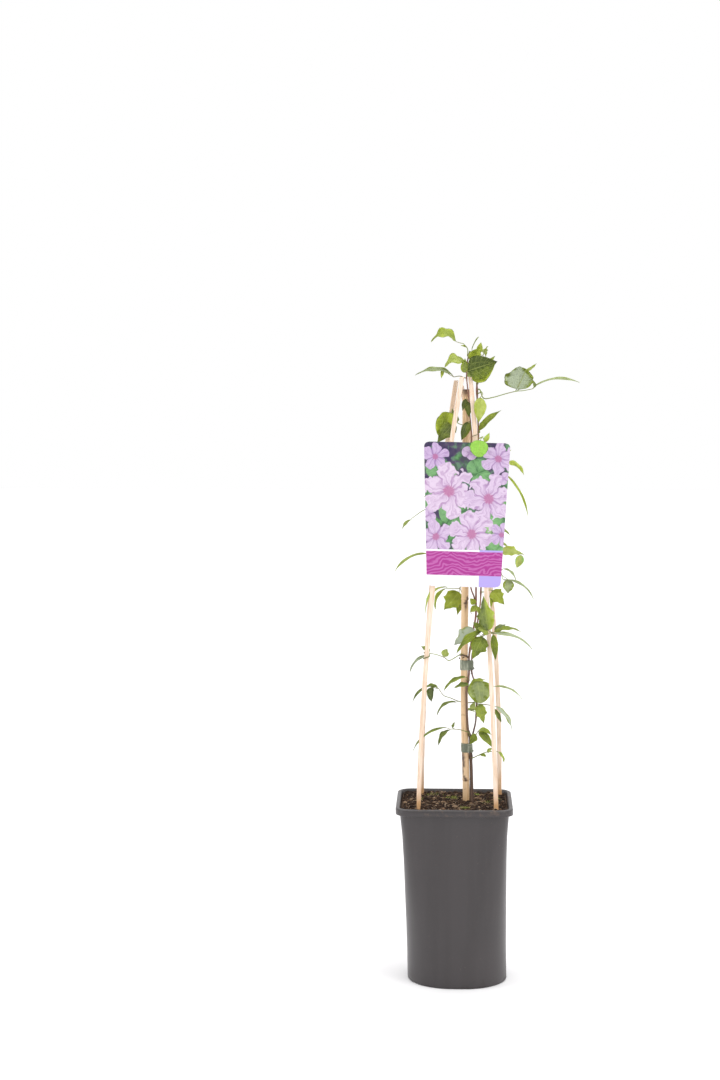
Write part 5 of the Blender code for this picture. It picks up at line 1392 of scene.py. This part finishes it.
            (2, (25, -27, 645), (23, -27, 625), 20, (0, -1, 0), 1, "broad"),
            (1, (30, -24, 643), (36, -24, 654), 6, (0, -1, 0), 1, "ovate"),
        ],
    },
    "shoot_side": {
        "stem": "leader", "axil": 704, "tone": 0.5, "grey": 0.3,
        "looks": {0: (0.32, 0.75, 12), 1: (0.6, 0.2, 10), 2: (0.55, 0.5, 12)},
        "stalk": [(29, -8, 694), (40, -10, 695), (54, -12, 699), (66, -13, 702), (76, -14, 703), (86, -15, 705)],
        "leaflets": [
            (3, (70, -14, 704), (71, -16, 731), 35, (0.1, -0.7, -0.6), -4, "broad"),
            (3, (78, -15, 726), (91, -15, 735), 5, (0.1, -0.7, -0.6), 1, "ovate"),
            (5, (88, -15, 708), (142, -20, 712), 6, (0, -0.5, 0.9), 8, "narrow"),
            (5, (89, -14, 707), (87, -16, 715), 4, (0, -0.8, 0.4), 1, "ovate"),
        ],
    },
    "crown_left": {
        "stem": "third", "axil": 744, "tone": 0.58, "grey": 0.05,
        "stalk": [(10, -4, 752), (5, -8, 758)],
        "leaflets": [
            (1, (-4, -10, 761), (-33, -12, 760), 20, (0, -0.6, 0.8), 11, "ovate"),
            (0, (9, -5, 754), (2, -9, 756), 4, (0, -0.6, 0.8), 0, "narrow"),
        ],
    },
    "crown_long_left": {
        "stem": "third", "axil": 718, "tone": 0.35, "grey": 0.4,
        "looks": {0: (0.35, 0.45, 14), 1: (0.8, 0, 8)},
        "stalk": [(1, 6, 720), (-6, 6, 719)],
        "leaflets": [
            (1, (-8, 4, 722), (-52, -4, 721), 9, (0, -0.6, 0.8), 8, "ovate"),
            (1, (-19, 0, 728), (-21, -2, 717), 4, (0, -1, 0), 1, "ovate"),
        ],
    },
    "crown_pale": {
        "stem": "third", "axil": 730, "tone": 0.6, "grey": 0.15,
        "stalk": [(5, -6, 729)],
        "leaflets": [
            (0, (4, -7, 736), (-17, -11, 730), 18, (0, -0.6, 0.8), 7, "ovate"),
            (0, (6, -5, 737), (-4, 2, 744), 5, (0, -1, 0), 1, "ovate"),
            (0, (6, -8, 724), (7, -12, 741), 9, (0, -1, 0), 1, "ovate"),
        ],
    },
    "crown_dark": {
        "stem": "leader", "axil": 711, "tone": 0.2,
        # leaflet 0 is painted near-black as shade, with painted light on one half
        "looks": {0: (0.0, 0, 12, 0.1), 1: (0.5, 0.0, 12), 2: (0.5, 0.05, 14), 3: (0.3, 0, 14)},
        "stalk": [(23, -10, 715), (21, -14, 717)],
        "leaflets": [
            (1, (10, -17, 726), (45, -21, 737), 29, (0, -1, 0), 2, "ovate"),
            (1, (16, -14, 715), (43, -17, 735), 18, (0, -1, 0), 2, "ovate"),
            (0, (22, -4, 720), (43, 12, 744), 9, (0.3, -0.7, 0.6), 4, "ovate"),
            (0, (20, 4, 720), (13, 22, 736), 14, (-0.3, 0.8, 0.4), 4, "lobed"),
        ],
    },
    "crown_top": {
        "stem": "third", "axil": "end", "tone": 0.55,
        "looks": {2: (0.62, 0, 12), 3: (0.72, 0, 10)},
        "stalk": [(15, -2, 748), (21, 0, 748)],
        "leaflets": [
            (0, (15, -3, 752), (23, -6, 766), 2, (-0.8, -0.5, 0.3), 1, "bud"),
            (1, (28, -3, 744), (34, -5, 755), 2, (-0.8, -0.5, 0.3), 1, "bud"),
            (0, (14, -4, 737), (25, -6, 754), 15, (0, -1, 0), 2, "ovate"),
            (1, (23, 0, 747), (26, 1, 760), 7, (0, -1, 0), 1, "ovate"),
            (1, (24, 2, 750), (32, 18, 742), 11, (0.3, 0.5, 0.8), 4, "lobed"),
        ],
    },
}

leafForm = {
    # where the outline is widest and how blunt its ends are
    "shapes": {"ovate": (0.36, 2.0), "narrow": (0.4, 1.5), "lobed": (0.32, 1.9), "broad": (0.42, 1.1), "bud": (0.8, 1.0)},
    "across": 5, "along": 22, "fold": (9, 30), "thick": 0.42 * mm, "room": 0.35 * mm,
    "stalkRadius": 0.72 * mm, "stalkTip": 0.42 * mm, "strip": 0.42 * mm, "wave": 0.085, "curl": 0.08,
}


def halfWidth(form, share, quirks):
    if share <= 0 or share >= 1:
        return 0.0
    peak, fullness = leafForm["shapes"][form]
    outline = (share / peak) ** (fullness * peak) * ((1 - share) / (1 - peak)) ** (fullness * (1 - peak))
    for place, tall, width in quirks:
        outline *= 1 + tall * math.exp(-((share - place) / width) ** 2)
    return outline / 2


def midrib(base, tip, faces, arch, share):
    chord = tip - base
    up = (faces - chord * (faces.dot(chord) / chord.length_squared)).normalized()
    bend = (base + tip) / 2 + up * arch * 2
    point = base * (1 - share) ** 2 + bend * 2 * share * (1 - share) + tip * share ** 2
    along = ((bend - base) * (1 - share) + (tip - bend) * share).normalized()
    across = along.cross(up).normalized()
    return point, along, across.cross(along)


# a leaflet: a folded, waved and quilted blade, and the short stalk that runs on under it as its rib
def addBlade(skin, leaflet, root, draw, tone, grey, fold, split):
    joint, base, tip, width, faces, arch, form = leaflet
    base, tip, faces = Vector(base) * mm, Vector(tip) * mm, Vector(faces)
    wide = width * mm
    quirks = {}
    for side in (-1, 1):
        bumps = [(draw.uniform(0.15, 0.85), draw.uniform(-0.08, 0.08), draw.uniform(0.03, 0.07)) for _ in range(4)]
        if form == "lobed":
            bumps += [(draw.uniform(0.42, 0.56), draw.uniform(0.18, 0.42), 0.06), (draw.uniform(0.62, 0.7), -0.2, 0.06),
                      (draw.uniform(0.22, 0.3), draw.uniform(0.0, 0.2), 0.05)]
        quirks[side] = bumps
    phase, waves = draw.uniform(0, 6.283), draw.uniform(1.4, 2.6)
    skew = {side: draw.uniform(0.9, 1.1) for side in (-1, 1)}
    curl = draw.uniform(-1.0, 0.6) * leafForm["curl"]
    twist = math.radians(draw.uniform(-16, 16))
    # a small random difference between the halves, plus split: painted shade on one half of the blade and painted light
    # on the other
    sideToneAndShade = {side: draw.uniform(-0.1, 0.1) + side * split for side in (-1, 1)}
    number = draw.uniform(0, 90)
    count, rows, places, first = leafForm["across"], [], [], len(skin.points)
    tones = []
    for r in range(leafForm["along"] + 1):
        share = r / leafForm["along"]
        share -= 0.03 * math.sin(2 * math.pi * share)
        point, along, up = midrib(base, tip, faces, arch * mm, share)
        across = along.cross(up)
        across, up = (across * math.cos(twist * (share - 0.35)) + up * math.sin(twist * (share - 0.35)),
                      up * math.cos(twist * (share - 0.35)) - across * math.sin(twist * (share - 0.35)))
        upper, lower, upperPlace, lowerPlace, upperTone, lowerTone = [], [], [], [], [], []
        for k in range(-count, count + 1):
            u = math.copysign(abs(k / count) ** 0.85, k)
            side = 1 if k >= 0 else -1
            half = halfWidth(form, share, quirks[side]) * wide * skew[side]
            half = max(half, leafForm["strip"] * (0.5 if form != "bud" else 1.0) * (1 - share) ** 0.3)
            crease = (math.sqrt(u * u + 0.04) - 0.2) * half * math.tan(math.radians(fold))
            wave = leafForm["wave"] * wide * u * u * math.sin(waves * 6.283 * share + phase + side * 1.3) * math.sin(math.pi * share) ** 0.5
            quilt = 0.017 * wide * math.sin(6.283 * (share - 0.22 * abs(u)) * 5.5) * math.sin(math.pi * min(1.0, abs(u) * 1.05))
            bend = curl * wide * u * u * math.sin(math.pi * share)
            ragged = 0.12 * mm * wobble((share * 9, u * 2, number), 1.0)
            spot = point + across * (u * half) + up * (crease + wave + bend + quilt + ragged)
            thick = leafForm["thick"] * (1 - abs(u)) ** 0.5
            if k == 0:
                thick += 0.35 * mm * (1 - share)
            # painted light and shade by halves, fading out towards the midrib
            shade = tone + sideToneAndShade[side] * min(1.0, abs(u) * 4)
            upper.append(spot)
            upperPlace.append((u, share, number))
            upperTone.append((shade, grey))
            if abs(k) < count:
                lower.append(spot - up * thick)
                lowerPlace.append((u, share, number))
                lowerTone.append((shade, grey))
        rows.append([insideBox(spot) for spot in upper + lower[::-1]])
        places.append(upperPlace + lowerPlace[::-1])
        tones += upperTone + lowerTone[::-1]
    skin.add(rows, ring=True, ends=True, mark=1, places=places, marks=[1] * (2 * count) + [2] * (2 * count))
    skin.tones[first:] = tones
    path = [root] if (base - root).length > 0.6 * mm else []
    for share in (0.0, 0.12, 0.3, 0.5, 0.7):
        point, along, up = midrib(base, tip, faces, arch * mm, share)
        path.append(insideBox(point - up * (0.3 * mm)))
    if path[0] is root:
        path.insert(1, blend(root, path[1], 0.5) - Vector((0, 0, 0.04)) * (base - root).length)
    fine = smoothPath(path, 3)
    thick = [blend(leafForm["strip"], 0.12 * mm, (k / (len(fine) - 1)) ** 1.3) for k in range(len(fine))]
    skin.add(rodRows(fine, thick, 6), ring=True, ends=True, tone=(tone * 0.6 + 0.3, grey))


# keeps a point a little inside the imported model's box
def insideBox(point):
    low, high = cadBox
    room = leafForm["room"]
    return Vector([max(low[axis] + room, min(high[axis] - room, point[axis])) for axis in range(3)])


def makeGrowth(name, draw):
    growth = growths[name]
    stem, radii = stemLine(growth["stem"])
    route = [Vector(p) * mm for p in growth["stalk"]]
    if growth["axil"] == "end":
        path = [stem[-1], stem[-1] + (stem[-1] - stem[-2]).normalized() * 2.2 * mm] + route
    else:
        z = growth["axil"] * mm
        away = route[0] - atHeight(stem, z)
        away.z = 0
        away.normalize()
        path = [atHeight(stem, z) + away * radiusAt(stem, radii, z) * 0.4,
                atHeight(stem, z) + away * (radiusAt(stem, radii, z) + 2.7 * mm)] + route
    fine = smoothPath(path, 5)
    thick = [blend(leafForm["stalkRadius"], leafForm["stalkTip"], k / (len(fine) - 1)) for k in range(len(fine))]
    for k in range(3):
        thick[k] *= (1.5, 1.3, 1.1)[k]
    skin = Skin()
    skin.add(rodRows(fine, thick, 8), ring=True, ends=True, tone=(growth.get("tone", 0.5), 0.0))
    looks = growth.get("looks", {})
    for number, leaflet in enumerate(growth["leaflets"]):
        root = Vector(growth["stalk"][leaflet[0]]) * mm
        fold = draw.uniform(*leafForm["fold"])
        tone = growth.get("tone", 0.5) + draw.uniform(-0.15, 0.15)
        # a fourth number in looks is the painted shade and light split between the halves
        tone, grey, fold, *split = looks.get(number, (tone, growth.get("grey", 0.05), fold))
        addBlade(skin, leaflet, root, draw, tone, grey, fold, split[0] if split else 0.0)
    title = "".join(word.title() for word in name.split("_"))
    skin.make("growth" + title, [leafStalk, leafUpper, leafUnder], [name])


# Leaf stalks that wind round a stick: stick, height, start and end angle, rise, radius of the stalk, tone
tendrils = (
    ("stick_front_left", 388.5, -170, 205, 7.5, 0.75, 0.15), ("stick_front_right", 649.0, -190, 20, 3.5, 0.45, 0.0),
)


def makeTendrils():
    skin = Skin()
    for stick, z, start, end, rise, radius, tone in tendrils:
        path = []
        for k in range(25):
            share = k / 24
            angle = math.radians(blend(start, end, share))
            height = (z + rise * share) * mm
            reach = Vector((math.cos(angle) * (sticks["width"] / 2 + (radius + 0.25) * mm),
                            math.sin(angle) * (sticks["depth"] / 2 + (radius + 0.45) * mm), 0))
            path.append(stickAxis(stick, height) + reach)
        skin.add(rodRows(path, [radius * mm * (1 - 0.45 * k / 24) for k in range(25)], 8), ring=True, ends=True, tone=(tone, 0.0))
    skin.make("leafTendrils", [leafStalk])


makeStems()
for tieName in ties["places"]:
    makeTie(tieName)
print("stems and ties")
growthDraw = random.Random(11)
for growthName in growths:
    makeGrowth(growthName, growthDraw)
makeTendrils()
print("leaves:", len(growths), "growths")


# Floor

bpy.ops.mesh.primitive_plane_add(size=24, location=(0, 0, -0.2 * mm))
floor = bpy.context.object
floor.name = "paleFloor"
floorMaterial, floorTree, floorShader, floorPlace = newMaterial("paleFloor", 0.7, 0.2)
floorShade = useGroup(floorTree, blotches, Place=floorPlace, Scale=2.0, Low=0.3, High=0.8)["Mask"]
floorTree.links.new(mixColour(floorTree, floorShade, (0.86, 0.85, 0.86), (0.87, 0.865, 0.87)), floorShader.inputs["Base Color"])
floor.data.materials.append(floorMaterial)
